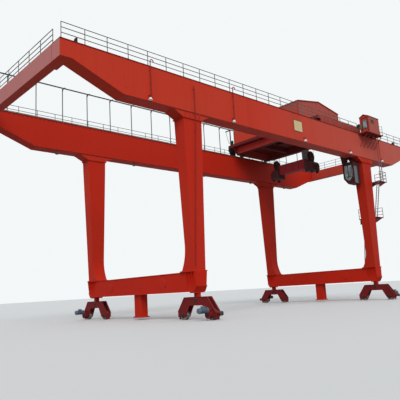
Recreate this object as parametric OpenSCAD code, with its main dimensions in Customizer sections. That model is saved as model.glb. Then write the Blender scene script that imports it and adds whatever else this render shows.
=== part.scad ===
// Rail-mounted double-girder gantry crane with cantilevers, as a 1:2 scale model.
// The main girders run along X, the crane travels along Y, and +Z is up.
// The origin is the middle of the crane, on the level that its wheels stand on.

/* [Main frame] */
// Distance between the left and the right leg centres
span = 13000; // [11800:100:14200]
// Distance between the centrelines of the near and the far girder
girder_spacing = 7100; // [6800:50:7800]
// Height of the top of the girders
girder_top = 9200; // [8800:100:9900]

/* [Girders] */
// Overall length of each girder
girder_length = 24000; // [23000:100:26000]
// Depth of a girder between its tapers
girder_depth = 1400; // [1250:10:1550]
// Width of a girder over its flange plates
girder_width = 600; // [560:10:660]
// Depth of a girder at its ends
end_depth = 620; // [520:10:760]
// Length of the level stretch under each girder end
end_flat = 420; // [360:10:520]
// Length of the rising taper under each cantilever
taper_length = 2000; // [1500:50:2600]
// Thickness of the flange plates
flange_plate = 25; // [16:1:36]
// How far the flange plates stand out from the webs
flange_lip = 20; // [12:1:30]

/* [End beams] */
// Width of the beams that join the girder ends
end_beam_width = 340; // [280:10:400]
// Length of the wide stub where an end beam meets a girder
stub_length = 450; // [300:10:600]

/* [Legs] */
// Depth of the trapezoid haunch between girder and leg
haunch_depth = 230; // [200:10:300]
// Length of the haunch along the girder, at its top
haunch_top = 1860; // [1700:20:2100]
// Length of the haunch along the girder, at its flange
haunch_foot = 940; // [930:10:1000]
// Width of a leg along the girder, at its top
leg_top_x = 900; // [820:10:910]
// Width of a leg along the girder, at its foot
leg_foot_x = 540; // [440:10:640]
// Width of a leg across the girder, at its top
leg_top_y = 560; // [480:10:560]
// Width of a leg across the girder, at its foot
leg_foot_y = 440; // [380:10:460]
// Thickness of the bolted flanges at both ends of a leg
joint_flange = 36; // [24:2:50]
// Height of the small haunch at the inner side of a leg foot
knee_height = 950; // [700:10:1050]
// Length of the small haunch at the inner side of a leg foot
knee_length = 280; // [220:10:340]

/* [Sills] */
// Height of the top of the sill beams
sill_top = 1740; // [1600:10:1900]
// Depth of a sill beam
sill_depth = 730; // [600:10:760]
// Width of a sill beam over its flanges
sill_width = 560; // [520:10:640]
// Overlap of a sill beam beyond the leg centres
sill_overlap = 250; // [245:5:300]
// Width of the anchor post under the middle of a sill, along the sill
anchor_width = 480; // [380:10:560]
// Clear height under the foot plate of an anchor post
anchor_clear = 90; // [60:5:160]

/* [Bogies] */
// Radius of a travel wheel over its flanges
wheel_flange_r = 200; // [180:5:210]
// Radius of the tread of a travel wheel
tread_r = 178; // [150:1:178]
// Width of a travel wheel over its flanges
wheel_width = 140; // [120:2:150]
// Distance between the two axles of a bogie
axle_spacing = 1520; // [1400:20:1640]
// Height of the pin on which a bogie rocks
pivot_height = 700; // [660:5:720]
// Radius of the bogie pin
pin_r = 45; // [36:1:52]
// Radius of a wheel axle
axle_r = 36; // [30:1:42]
// Thickness of the side plates of a bogie
bogie_plate = 30; // [20:1:40]
// Radius of a travel motor
motor_r = 95; // [80:1:110]

/* [Trolley] */
// Place of the trolley along the girders
trolley_x = 4990; // [4700:10:5100]
// Length of the trolley deck along the girders
deck_length = 4020; // [3800:20:4200]
// Width of the trolley deck across the girders
deck_width = 6600; // [6200:20:6700]
// Radius of a trolley wheel
trolley_wheel_r = 130; // [120:1:140]
// Distance between the trolley axles
trolley_base = 2340; // [2100:20:2380]
// Length of the machinery house across the girders
house_length = 4900; // [4400:20:5100]
// Shift of the machinery house towards the far girder
house_shift = 350; // [200:10:450]
// Height of the walls of the machinery house
house_wall = 1200; // [1100:10:1400]
// Rise of the gable roof of the machinery house
house_rise = 330; // [240:10:420]

/* [Spreader] */
// Length of the lifting spreader across the girders
spreader_length = 3120; // [2900:20:3400]
// Height of the underside of the raised spreader
spreader_low = 7450; // [7200:10:7480]
// Width of the end blocks of the spreader
spreader_span = 640; // [600:10:760]
// Radius of a hoist rope
rope_r = 9; // [6:1:12]

/* [Access and services] */
// Height of the handrails
rail_height = 560; // [500:10:600]
// Distance between the handrail posts
post_spacing = 870; // [760:10:960]
// Thickness of the handrail bars
bar = 20; // [14:1:26]
// Height of the cable track above the far girder
track_height = 1860; // [1780:10:1980]
// Distance between the posts of the cable track
track_pitch = 1340; // [1200:10:1480]
// Height of the electrical house
cabinet_height = 1060; // [960:10:1160]
// Height of the operator's cab
cab_height = 1160; // [1000:10:1200]

/* [Hidden] */
eps = 1;
// Clearance of a piece at a sloping seat
seat = 0.3;
near_y = -girder_spacing / 2;
far_y = girder_spacing / 2;
left_x = -span / 2;
right_x = span / 2;
girder_low = girder_top - girder_depth;
end_low = girder_top - end_depth;
taper_x = girder_length / 2 - end_flat - taper_length;
haunch_low = girder_low - haunch_depth;
leg_high = haunch_low - joint_flange;
leg_low = sill_top + joint_flange;
sill_low = sill_top - sill_depth;
sill_cut = 110;
sill_cut_z = 200;
inner_y = girder_spacing / 2 - girder_width / 2;
outer_y = girder_spacing / 2 + girder_width / 2;
// Trolley rail and wheels
rail_y = inner_y + 70;
rail_w = 50;
rail_h = 65;
rail_gap = 0.5;
trolley_axle_z = girder_top + rail_h + rail_gap + trolley_wheel_r;
side_beam_w = 240;
side_beam_low = girder_top + 180;
side_beam_high = girder_top + 590;
stop_len = 160;
stop_x = girder_length / 2 - 880;
deck_thick = 60;
deck_z = side_beam_high + deck_thick;
deck_x0 = trolley_x - deck_length / 2;
deck_x1 = trolley_x + deck_length / 2;
cross_beam_w = 300;
frame_x0 = deck_x0 + 670;
frame_x1 = deck_x1;
frame_x = (frame_x0 + frame_x1) / 2;
house_y0 = house_shift - house_length / 2;
house_y1 = house_shift + house_length / 2;
wall_t = 50;
eave_z = deck_z + house_wall;
ridge_z = eave_z + house_rise;
roof_t = 22;
// Windows and door of the machinery house
window_w = 340;
window_h = 230;
window_z = deck_z + 620;
window_pitch = 560;
door_w = 400;
door_h = 950;
track_reach = girder_length / 2 - 90;
track_h = 44;
track_y = outer_y - 310;
// Spreader: the ropes pass round one sheave at each end and up to the drum
main_beam_w = 420;
main_beam_h = 560;
main_beam_low = spreader_low + 240;
block_len = 600;
block_h = 560;
rope_x = 300;
rope_y = spreader_length / 2 - 310;
drum_r = rope_x - rope_r - 0.3;
sheave_rim = drum_r + 28;
rope_low = spreader_low + 880;
rope_high = deck_z + drum_r + 60;
// Bogie sizes, from the pin
side_gap = 90;
bogie_end = axle_spacing / 2 + wheel_flange_r + 50;
buffer_len = 180;
pin_clear = 0.1;
lug_w = 2 * (side_gap - 15);
// Operator's cab between the near right leg and the load, under the near girder
cab_w = 630;
cab_x1 = right_x - haunch_foot / 2 - 80;
cab_x0 = cab_x1 - cab_w;
cab_d = 650;
cab_top = girder_low - 330;
cab_low = cab_top - cab_height;
cab_y0 = near_y - 120;
cab_y1 = cab_y0 + cab_d;
cab_lean_y = 250;
cab_lean_z = 330;
cab_post = 60;
cab_door_w = 330;
cab_sill = cab_low + cab_lean_z + 60;
cab_head = cab_top - 110;
cab_side_window = [[cab_y0 + 100, cab_sill], [cab_y0 + 300, cab_low + 180],
    [cab_y1 - cab_lean_y - 30, cab_low + 180], [cab_y1 - 90, cab_sill - 20],
    [cab_y1 - 90, cab_head], [cab_y0 + 100, cab_head]];
shell = 30;
glass = 6;
// Landings beside the near right leg
landing_t = 40;
upper_z = leg_low + (leg_high - leg_low) * 0.81;
lower_z = leg_low + (leg_high - leg_low) * 0.47;
landing_x1 = right_x + leg_top_x / 2 + 730;
landing_y0 = near_y - 750;
ladder_w = 260;
hatch_len = 300;
low_ladder_x = landing_x1 - 560;
top_ladder_x = landing_x1 - 150;
top_ladder_y = near_y - 570;
// Electrical house on its bracketed platform beside the near girder
cabinet_x0 = right_x - 260;
cabinet_w = 1150;
cabinet_d = 520;
cabinet_y1 = -outer_y - 30;
cabinet_rise = 130;
hut_door_w = 330;
hut_door_h = 850;
hut_door_y = cabinet_y1 - cabinet_d + 60;
platform_z = girder_top - 50;
platform_x0 = cabinet_x0 - 260;
platform_w = landing_x1 + 20 - platform_x0;
platform_d = cabinet_d + 60;

paint = "firebrick";
dark = "dimgray";
steel = "slategray";

// A flat outline in X and Z, given thickness along Y about the centre y.
module upright(y, thick) {
    translate([0, y + thick / 2, 0])
        rotate([90, 0, 0])
            linear_extrude(thick)
                children();
}

// A flat outline in Y and Z, given thickness along X about the centre x.
module crosswise(x, thick) {
    translate([x - thick / 2, 0, 0])
        rotate([90, 0, 90])
            linear_extrude(thick)
                children();
}

// A round bar along X or Y through the point p.
module rod_x(p, r, len, n = 24) {
    translate([p[0] - len / 2, p[1], p[2]])
        rotate([0, 90, 0])
            cylinder(h = len, r = r, $fn = n);
}

module rod_y(p, r, len, n = 24) {
    translate([p[0], p[1] + len / 2, p[2]])
        rotate([90, 0, 0])
            cylinder(h = len, r = r, $fn = n);
}

// A round bar from the point a to the point b.
module pipe(a, b, r, n = 12) {
    v = b - a;
    translate(a)
        rotate([0, acos(v[2] / norm(v)), atan2(v[1], v[0])])
            cylinder(h = norm(v), r = r, $fn = n);
}

// A box given by two opposite corners.
module span_box(low, high) {
    translate(low)
        cube(high - low);
}

// Outline of a girder: the underside rises to the shallow ends.
function girder_points(lift, top_z, reach) = [
    [-reach, top_z], [reach, top_z],
    [reach, end_low + lift], [girder_length / 2 - end_flat, end_low + lift],
    [taper_x, girder_low + lift], [-taper_x, girder_low + lift],
    [-girder_length / 2 + end_flat, end_low + lift], [-reach, end_low + lift]];

module girder(y) {
    half = girder_length / 2;
    color(paint) {
        upright(y, girder_width - 2 * flange_lip)
            polygon(girder_points(flange_plate / 2, girder_top - flange_plate / 2, half));
        upright(y, girder_width)
            difference() {
                polygon(girder_points(0, girder_top - flange_plate, half));
                polygon(girder_points(flange_plate, girder_top, half + eps));
            }
        span_box([-half, y - girder_width / 2, girder_top - flange_plate],
            [half, y + girder_width / 2, girder_top]);
    }
}

module near_girder() {
    girder(near_y);
}

module far_girder() {
    girder(far_y);
}

// End beam between the girders: a box with a wide bolted stub at each girder.
module end_beam(side) {
    x = side * (girder_length / 2 - end_beam_width / 2);
    stub_x = side * (girder_length / 2 - end_flat / 2);
    color(paint) {
        span_box([x - end_beam_width / 2, -inner_y, end_low],
            [x + end_beam_width / 2, inner_y, girder_top]);
        for (s = [-1, 1])
            translate([stub_x, s * (inner_y - stub_length / 2), (end_low + girder_top) / 2])
                cube([end_flat, stub_length, end_depth], center = true);
        for (s = [-1, 1])
            translate([stub_x, s * (inner_y - stub_length), (end_low + girder_top) / 2])
                cube([end_flat, joint_flange, end_depth], center = true);
    }
}

module end_beams() {
    for (side = [-1, 1])
        end_beam(side);
}

// Trapezoid haunch under a girder, with upright stiffener plates on both faces.
module haunch(x, y) {
    rib_count = 4;
    rib_t = 16;
    rib_out = 36;
    web = girder_width - 2 * flange_lip;
    upright(y, web)
        polygon([[x - haunch_top / 2, girder_low], [x + haunch_top / 2, girder_low],
            [x + haunch_foot / 2, haunch_low], [x - haunch_foot / 2, haunch_low]]);
    for (i = [0 : rib_count - 1])
        crosswise(x - haunch_foot / 2 + (i + 0.5) * haunch_foot / rib_count, rib_t)
            translate([y, 0])
                polygon([[-web / 2 - flange_lip, girder_low], [web / 2 + flange_lip, girder_low],
                    [web / 2 + rib_out, haunch_low], [-web / 2 - rib_out, haunch_low]]);
}

module leg_haunches() {
    color(paint)
        for (x = [left_x, right_x], y = [near_y, far_y])
            haunch(x, y);
}

// Tapered box leg: flared at its head, and with a curved knee at the inner side of its foot.
module leg(x, inward) {
    y = inward > 0 ? near_y : far_y;
    flare = (haunch_foot - leg_top_x) / 2;
    flare_h = 420;
    steps = 8;
    side = concat([[leg_foot_x / 2, leg_low]],
        [for (i = [0 : steps]) let (a = 90 * i / steps)
            [leg_top_x / 2 + flare * (1 - cos(a)), leg_high - flare_h * (1 - sin(a))]]);
    mirrored = [for (i = [len(side) - 1 : -1 : 0]) [-side[i][0], side[i][1]]];
    knee_r = (knee_height * knee_height + knee_length * knee_length) / (2 * knee_length);
    knee_a = asin(knee_height / knee_r);
    knee = [for (i = [0 : steps]) let (a = knee_a * (1 - i / steps))
        [leg_foot_y / 2 + knee_r * (1 - cos(a)), leg_low + knee_height - knee_r * sin(a)]];
    color(paint)
        intersection() {
            upright(y, 3 * girder_width)
                translate([x, 0])
                    polygon(concat(side, mirrored));
            crosswise(x, 3 * haunch_foot)
                translate([y, 0])
                    scale([inward, 1])
                        polygon(concat([[-leg_foot_y / 2, leg_low]], knee,
                            [[leg_top_y / 2, leg_high], [-leg_top_y / 2, leg_high]]));
        }
}

module legs() {
    for (x = [left_x, right_x], inward = [-1, 1])
        leg(x, inward);
}

// Bolted flanges at the top and at the foot of each leg.
module leg_flanges() {
    top_lip = 36;
    foot_lip = 70;
    color(paint)
        for (x = [left_x, right_x], inward = [-1, 1]) {
            y = inward > 0 ? near_y : far_y;
            y0 = y - inward * sill_overlap;
            y1 = y + inward * (leg_foot_y / 2 + knee_length + 40);
            translate([x, y, haunch_low - joint_flange / 2])
                cube([haunch_foot + 2 * top_lip, girder_width - 2 * flange_lip + 2 * top_lip, joint_flange],
                    center = true);
            span_box([x - leg_foot_x / 2 - foot_lip, min(y0, y1), sill_top],
                [x + leg_foot_x / 2 + foot_lip, max(y0, y1), leg_low]);
        }
}

// Outline of a sill along Y, with its lower outer corners cut off.
function sill_points(cut_x, cut_z, drop) = [
    [-cut_x, sill_top - drop], [cut_x, sill_top - drop], [cut_x, sill_low + drop + cut_z],
    [cut_x - sill_cut, sill_low + drop], [sill_cut - cut_x, sill_low + drop],
    [-cut_x, sill_low + drop + cut_z]];

// Sill beam: a box with flange plates, which joins the feet of two legs.
module sill(x) {
    half = girder_spacing / 2 + sill_overlap;
    web = sill_width - 2 * flange_lip;
    rib = 16;
    rib_out = 70;
    rib_fall = 620;
    color(paint) {
        crosswise(x, web)
            polygon(sill_points(half - eps, sill_cut_z, eps));
        crosswise(x, sill_width)
            difference() {
                polygon(sill_points(half, sill_cut_z, 0));
                polygon(sill_points(half + eps, sill_cut_z, flange_plate));
            }
        for (s = [-1, 1], k = [-1.5 : 1.5], side = [-1, 1])
            upright(s * (girder_spacing / 2) + k * leg_foot_y / 3, rib)
                translate([x, 0])
                    scale([side, 1])
                        polygon([[web / 2 - eps, sill_top - eps], [web / 2 + rib_out, sill_top],
                            [web / 2 + rib_out, sill_top - flange_plate],
                            [web / 2 - eps, sill_top - rib_fall]]);
    }
}

module sills() {
    for (x = [left_x, right_x])
        sill(x);
}

// Anchor post under the middle of each sill, with a foot plate.
module anchor_posts() {
    post_x = 320;
    plate = 40;
    lip = 50;
    color(paint)
        for (x = [left_x, right_x]) {
            span_box([x - post_x / 2, -anchor_width / 2, anchor_clear + plate],
                [x + post_x / 2, anchor_width / 2, sill_low]);
            span_box([x - post_x / 2 - lip, -anchor_width / 2 - lip, anchor_clear],
                [x + post_x / 2 + lip, anchor_width / 2 + lip, anchor_clear + plate]);
        }
}

// Lug under each sill end, bored for the bogie pin.
module pivot_brackets() {
    lug_r = 105;
    plate = 40;
    plate_y = 2 * (sill_overlap - sill_cut);
    color(paint)
        for (x = [left_x, right_x], y = [near_y, far_y]) {
            difference() {
                union() {
                    rod_x([x, y, pivot_height], lug_r, lug_w, 48);
                    span_box([x - lug_w / 2, y - lug_r, pivot_height],
                        [x + lug_w / 2, y + lug_r, sill_low - plate / 2]);
                    span_box([x - sill_width / 2 + 40, y - plate_y / 2, sill_low - plate],
                        [x + sill_width / 2 - 40, y + plate_y / 2, sill_low]);
                }
                rod_x([x, y, pivot_height], pin_r + pin_clear, lug_w + 2 * eps, 64);
            }
        }
}

// Rails over the inner webs of the girders for the trolley, with a foot wider than the head.
module trolley_rails() {
    foot_w = 90;
    foot_h = 16;
    reach = girder_length / 2 - 80;
    color(steel)
        for (y = [-rail_y, rail_y])
            translate([-reach, y, girder_top])
                rotate([90, 0, 90])
                    linear_extrude(2 * reach)
                        polygon([[-foot_w / 2, 0], [foot_w / 2, 0], [foot_w / 2, foot_h / 2],
                            [rail_w / 3, foot_h], [rail_w / 3, rail_h - foot_h],
                            [rail_w / 2, rail_h - foot_h / 2], [rail_w / 2, rail_h],
                            [-rail_w / 2, rail_h], [-rail_w / 2, rail_h - foot_h / 2],
                            [-rail_w / 3, rail_h - foot_h], [-rail_w / 3, foot_h],
                            [-foot_w / 2, foot_h / 2]]);
}

// Stops with an upright face at the ends of the trolley rails.
module rail_stops() {
    stop_w = 120;
    stop_h = 440;
    color(paint)
        for (s = [-1, 1], y = [-rail_y, rail_y])
            upright(y, stop_w)
                polygon([[s * stop_x, girder_top + rail_h], [s * (stop_x + stop_len), girder_top + rail_h],
                    [s * (stop_x + 60), girder_top + stop_h], [s * stop_x, girder_top + stop_h]]);
}

// Straight railing along X from x0 to x1, three bars on evenly spaced posts.
module railing_x(x0, x1, y, z0, h, pitch) {
    count = max(1, round((x1 - x0) / pitch));
    step = (x1 - x0 - bar) / count;
    for (i = [0 : count])
        translate([x0 + i * step, y - bar / 2, z0])
            cube([bar, bar, h]);
    for (k = [1 : 3])
        translate([x0, y - bar / 2, z0 + k * h / 3 - bar])
            cube([x1 - x0, bar, bar]);
}

// Straight railing along Y from y0 to y1.
module railing_y(y0, y1, x, z0, h, pitch) {
    count = max(1, round((y1 - y0) / pitch));
    step = (y1 - y0 - bar) / count;
    for (i = [0 : count])
        translate([x - bar / 2, y0 + i * step, z0])
            cube([bar, bar, h]);
    for (k = [1 : 3])
        translate([x - bar / 2, y0, z0 + k * h / 3 - bar])
            cube([bar, y1 - y0, bar]);
}

// Railings along both girders and across both end beams.
module handrails() {
    reach = girder_length / 2 - 2 * bar;
    y = outer_y - bar;
    gap = 40;
    color(dark) {
        railing_x(-reach, platform_x0 - gap, -y, girder_top, rail_height, post_spacing);
        railing_x(platform_x0 + platform_w + gap, reach, -y, girder_top, rail_height, post_spacing);
        railing_x(-reach, reach, y, girder_top, rail_height, post_spacing);
        for (s = [-1, 1])
            railing_y(-inner_y, inner_y, s * (reach - bar), girder_top, rail_height, post_spacing);
    }
}

// Overhead track for the trolley's cables, open below, on tall posts with short arms.
module cable_track() {
    y_post = outer_y - 3 * bar;
    post = 34;
    track_w = 50;
    wall = 7;
    slot = 16;
    count = floor((girder_length / 2 - 400) / track_pitch);
    z_arm = girder_top + track_height;
    color(dark) {
        for (i = [-count : count])
            translate([i * track_pitch, 0, 0]) {
                span_box([-post / 2, y_post - post / 2, girder_top],
                    [post / 2, y_post + post / 2, z_arm + post]);
                span_box([-post / 2, track_y - track_w / 2, z_arm], [post / 2, y_post, z_arm + post]);
                crosswise(0, post / 2)
                    polygon([[y_post - post / 2, z_arm], [y_post - post / 2, z_arm - 3 * post],
                        [y_post - 3 * post, z_arm]]);
            }
        crosswise(0, 2 * track_reach)
            difference() {
                translate([track_y - track_w / 2, z_arm - track_h])
                    square([track_w, track_h]);
                translate([track_y - track_w / 2 + wall, z_arm - track_h + wall])
                    square([track_w - 2 * wall, track_h - 2 * wall]);
                translate([track_y - slot / 2, z_arm - track_h - eps])
                    square([slot, 2 * wall]);
            }
    }
}

// Flat cables gathered in hanging loops under the right end of the track.
module cable_loops() {
    count = 6;
    pitch = 150;
    drop = 860;
    thick = 16;
    width = 60;
    loop_r = pitch / 2 - thick;
    color("black")
        for (i = [0 : count - 1])
            upright(track_y, width)
                translate([track_reach - (i + 0.5) * pitch, girder_top + track_height - track_h]) {
                    difference() {
                        translate([0, -drop])
                            circle(r = loop_r, $fn = 24);
                        translate([0, -drop])
                            circle(r = loop_r - thick, $fn = 24);
                        translate([-pitch, -drop])
                            square([2 * pitch, pitch]);
                    }
                    for (s = [-1, 1])
                        translate([s * (loop_r - thick / 2) - thick / 2, -drop - eps])
                            square([thick, drop + eps]);
                }
}

// Outline of the electrical house's gable, drawn inside its walls by the inset.
function cabinet_points(inset, foot) = [
    [cabinet_y1 - cabinet_d + inset, foot], [cabinet_y1 - inset, foot],
    [cabinet_y1 - inset, foot + cabinet_height - cabinet_rise - inset],
    [cabinet_y1 - cabinet_d / 2, foot + cabinet_height - inset],
    [cabinet_y1 - cabinet_d + inset, foot + cabinet_height - cabinet_rise - inset]];

// Electrical house: a walk-in hut with a gable roof and a doorway at its left end.
module electric_house() {
    lip = 30;
    skin = 12;
    foot = platform_z + landing_t;
    color(paint) {
        difference() {
            crosswise(cabinet_x0 + cabinet_w / 2, cabinet_w)
                polygon(cabinet_points(0, foot));
            crosswise(cabinet_x0 + cabinet_w / 2, cabinet_w - 2 * shell)
                polygon(cabinet_points(shell, foot - eps));
            span_box([cabinet_x0 - eps, hut_door_y, foot - eps],
                [cabinet_x0 + shell + eps, hut_door_y + hut_door_w, foot + hut_door_h]);
            span_box([cabinet_x0 + cabinet_w - 900, cabinet_y1 - cabinet_d - eps, foot + 560],
                [cabinet_x0 + cabinet_w - 560, cabinet_y1 - cabinet_d + shell + eps, foot + 760]);
        }
        for (s = [-1, 1])
            crosswise(cabinet_x0 + cabinet_w / 2, cabinet_w + 2 * lip)
                translate([cabinet_y1 - cabinet_d / 2, foot + cabinet_height])
                    scale([s, 1])
                        polygon([[0, 0], [cabinet_d / 2, -cabinet_rise],
                            [cabinet_d / 2 + lip / 2, -cabinet_rise],
                            [cabinet_d / 2 + lip / 2, skin - cabinet_rise], [0, skin]]);
    }
}

// Platform of the electrical house, on slanting struts from the girder's web.
module electric_house_platform() {
    strut_r = 18;
    strut_fall = 720;
    count = 5;
    y1 = -outer_y;
    web_y = y1 + flange_lip;
    beam = 50;
    color(paint) {
        difference() {
            span_box([platform_x0, y1 - platform_d, platform_z],
                [platform_x0 + platform_w, y1, platform_z + landing_t]);
            translate([top_ladder_x, top_ladder_y + 60, platform_z])
                cube([ladder_w + 8, hatch_len, 3 * landing_t], center = true);
        }
        for (i = [0 : count - 1]) {
            x = platform_x0 + 100 + i * (platform_w - 200) / (count - 1);
            crosswise(x, beam)
                polygon([[web_y, platform_z], [y1 - platform_d, platform_z],
                    [y1 - platform_d, platform_z - beam / 2], [y1, platform_z - beam],
                    [web_y, platform_z - beam]]);
            intersection() {
                pipe([x, web_y + 20, platform_z - strut_fall], [x, y1 - platform_d + 60, platform_z],
                    strut_r);
                span_box([x - beam, y1 - platform_d, platform_z - 2 * strut_fall],
                    [x + beam, web_y, platform_z]);
            }
        }
    }
}

// Outline of the operator's cab, drawn inside its walls by the inset.
function cab_points(inset) = [
    [cab_y0 + inset, cab_low + inset], [cab_y1 - cab_lean_y - inset / 2, cab_low + inset],
    [cab_y1 - inset, cab_low + cab_lean_z + inset / 2], [cab_y1 - inset, cab_top - inset],
    [cab_y0 + inset, cab_top - inset]];

// Operator's cab: a hollow box whose front leans in at the knees.
module cab_body() {
    color(steel)
        difference() {
            crosswise(cab_x0 + cab_w / 2, cab_w)
                polygon(cab_points(0));
            crosswise(cab_x0 + cab_w / 2, cab_w - 2 * shell)
                polygon(cab_points(shell));
            for (x = [cab_x0, cab_x1 - shell])
                crosswise(x + shell / 2, shell + 2 * eps)
                    polygon(cab_side_window);
            span_box([cab_x0 + cab_post, cab_y1 - shell - eps, cab_sill],
                [cab_x1 - cab_post, cab_y1 + eps, cab_head]);
            span_box([cab_x0 + cab_post, cab_y0 - eps, cab_low + shell],
                [cab_x0 + cab_post + cab_door_w, cab_y0 + shell + eps, cab_low + shell + door_h]);
        }
}

// Panes in the cab's window openings, halfway through its walls.
module cab_windows() {
    color("lightsteelblue") {
        for (x = [cab_x0, cab_x1 - shell])
            crosswise(x + shell / 2, glass)
                polygon(cab_side_window);
        span_box([cab_x0 + cab_post, cab_y1 - shell / 2 - glass / 2, cab_sill],
            [cab_x1 - cab_post, cab_y1 - shell / 2 + glass / 2, cab_head]);
    }
}

// Hangers that carry the cab from the underside and the inner web of the near girder.
module cab_hanger() {
    plate = 40;
    y_in = -inner_y;
    color(dark) {
        for (x = [cab_x0 + plate / 2, right_x - haunch_top / 2 - 2 * plate])
            crosswise(x, plate)
                difference() {
                    polygon([[cab_y0, cab_top], [cab_y0, cab_top + 60], [cab_y0 + 180, girder_low],
                        [y_in, girder_low], [y_in, girder_low + 320], [y_in + 330, girder_low + 250],
                        [cab_y1, cab_top]]);
                    polygon([[cab_y0 + 170, cab_top + 60], [cab_y0 + 300, girder_low - 60],
                        [y_in - 60, girder_low - 60], [y_in + 40, cab_top + 60]]);
                    polygon([[y_in + 60, girder_low + 40], [y_in + 60, girder_low + 230],
                        [y_in + 230, girder_low + 190], [y_in + 180, girder_low + 20]]);
                }
        for (y = [cab_y0 + plate, cab_y1 - 2 * plate])
            span_box([cab_x0 + plate - eps, y, cab_top], [cab_x1, y + plate, cab_top + plate]);
    }
}

// Door leaves of the electrical house and of the cab, halfway through the walls.
module door_panels() {
    leaf = 16;
    foot = platform_z + landing_t;
    knob_r = 12;
    color(dark) {
        span_box([cabinet_x0 + (shell - leaf) / 2, hut_door_y, foot],
            [cabinet_x0 + (shell + leaf) / 2, hut_door_y + hut_door_w, foot + hut_door_h]);
        rod_x([cabinet_x0, hut_door_y + 50, foot + hut_door_h / 2], knob_r, 20, 16);
        span_box([cab_x0 + cab_post, cab_y0 + (shell - leaf) / 2, cab_low + shell],
            [cab_x0 + cab_post + cab_door_w, cab_y0 + (shell + leaf) / 2, cab_low + shell + door_h]);
        rod_y([cab_x0 + cab_post + cab_door_w - 50, cab_y0, cab_low + shell + door_h / 2], knob_r, 20, 16);
    }
}

// Seat at the side of the near right leg, at the height z.
function leg_side(z) = right_x + leg_foot_x / 2 + seat
    + (leg_top_x - leg_foot_x) / 2 * (z - leg_low) / (leg_high - 420 - leg_low);

// Plate beside the leg from y0 to y1, with a hatch at [hx, hy] for the ladder below.
module landing(z, y0, y1, hx, hy) {
    brace = 300;
    difference() {
        upright((y0 + y1) / 2, y1 - y0)
            polygon([[leg_side(z), z], [landing_x1, z], [landing_x1, z + landing_t],
                [leg_side(z + landing_t), z + landing_t]]);
        translate([hx, hy, z])
            cube([ladder_w - 2 * bar, hatch_len, 3 * landing_t], center = true);
    }
    for (y = [y0 + landing_t, y1 - 2 * landing_t])
        upright(y + landing_t / 4, landing_t / 2)
            polygon([[leg_side(z) + landing_t, z + eps], [landing_x1 - 100, z + eps],
                [landing_x1 - 100, z - landing_t / 2], [leg_side(z - brace), z - brace],
                [leg_side(z - landing_t), z - landing_t]]);
    railing_y(y0, y1, landing_x1 - bar / 2, z + landing_t, rail_height, post_spacing);
}

module landings() {
    step_z = sill_top - flange_plate;
    color(dark) {
        landing(upper_z, landing_y0, near_y - 60, low_ladder_x, near_y - 560);
        railing_x(leg_side(upper_z) + 20, landing_x1, landing_y0 + bar / 2, upper_z + landing_t,
            rail_height, post_spacing);
        landing(lower_z, near_y - 300, near_y + 760, low_ladder_x, near_y + 480);
        railing_x(leg_side(lower_z) + 20, landing_x1, near_y + 760 - bar / 2, lower_z + landing_t,
            rail_height, post_spacing);
        span_box([right_x + sill_width / 2, near_y + 500, step_z - landing_t],
            [landing_x1, near_y + 1000, step_z]);
        for (y = [near_y + 500, near_y + 1000 - landing_t])
            upright(y + landing_t / 2, landing_t)
                polygon([[right_x + sill_width / 2 - flange_lip, step_z - flange_plate],
                    [landing_x1 - 60, step_z - landing_t],
                    [right_x + sill_width / 2 - flange_lip, step_z - 420]]);
    }
}

// One ladder at x, from [y, z] at its foot to [y, z] at its head, its stiles going on by over.
module ladder(x, foot, head, over = 0) {
    rung_pitch = 150;
    run = head[0] - foot[0];
    rise = head[1] - foot[1];
    len = norm([run, rise]);
    count = floor(len / rung_pitch) - 1;
    intersection() {
        translate([x, foot[0], foot[1]])
            rotate([-atan2(run, rise), 0, 0]) {
                for (s = [-1, 1])
                    translate([s * (ladder_w - bar) / 2 - bar / 2, -bar, -4 * bar])
                        cube([bar, 2 * bar, len + 8 * bar + over]);
                for (i = [1 : count])
                    translate([-ladder_w / 2 + eps, -bar / 4, i * rung_pitch])
                        cube([ladder_w - 2 * eps, bar / 2, bar / 2]);
            }
        span_box([x - ladder_w, near_y - 3000, foot[1]], [x + ladder_w, near_y + 3000, head[1] + over]);
    }
}

module ladders() {
    color(dark) {
        ladder(low_ladder_x, [near_y + 820, sill_top - flange_plate], [near_y + 520, lower_z]);
        ladder(low_ladder_x, [near_y - 160, lower_z + landing_t], [near_y - 520, upper_z]);
        ladder(top_ladder_x, [top_ladder_y, upper_z + landing_t], [top_ladder_y, platform_z],
            landing_t + rail_height);
    }
}

// Bell-shaped floodlight that hangs from the point p.
module lamp(p) {
    stem = 45;
    stem_r = 13;
    neck_r = 34;
    mouth_r = 78;
    bell = 120;
    lip = 12;
    translate(p)
        rotate_extrude($fn = 32)
            polygon([[0, 0], [stem_r, 0], [stem_r, -stem], [neck_r, -stem], [neck_r, -stem - bell / 3],
                [mouth_r, -stem - bell], [mouth_r, -stem - bell - lip], [0, -stem - bell - lip]]);
}

// Floodlights: on brackets from the near girder's web, and under the far girder.
module floodlights() {
    lamp_x = [-0.357, -0.178, 0.029, 0.199, 0.342] * girder_length;
    arm = 110;
    arm_z = girder_low + 200;
    web_y = -outer_y + flange_lip;
    color("lightgray")
        for (x = lamp_x) {
            lamp([x, web_y - arm, arm_z]);
            span_box([x - 15, web_y - arm - 15, arm_z - 1], [x + 15, web_y, arm_z + 25]);
            lamp([x, far_y - girder_width / 2 + 80, girder_low]);
        }
}

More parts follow.
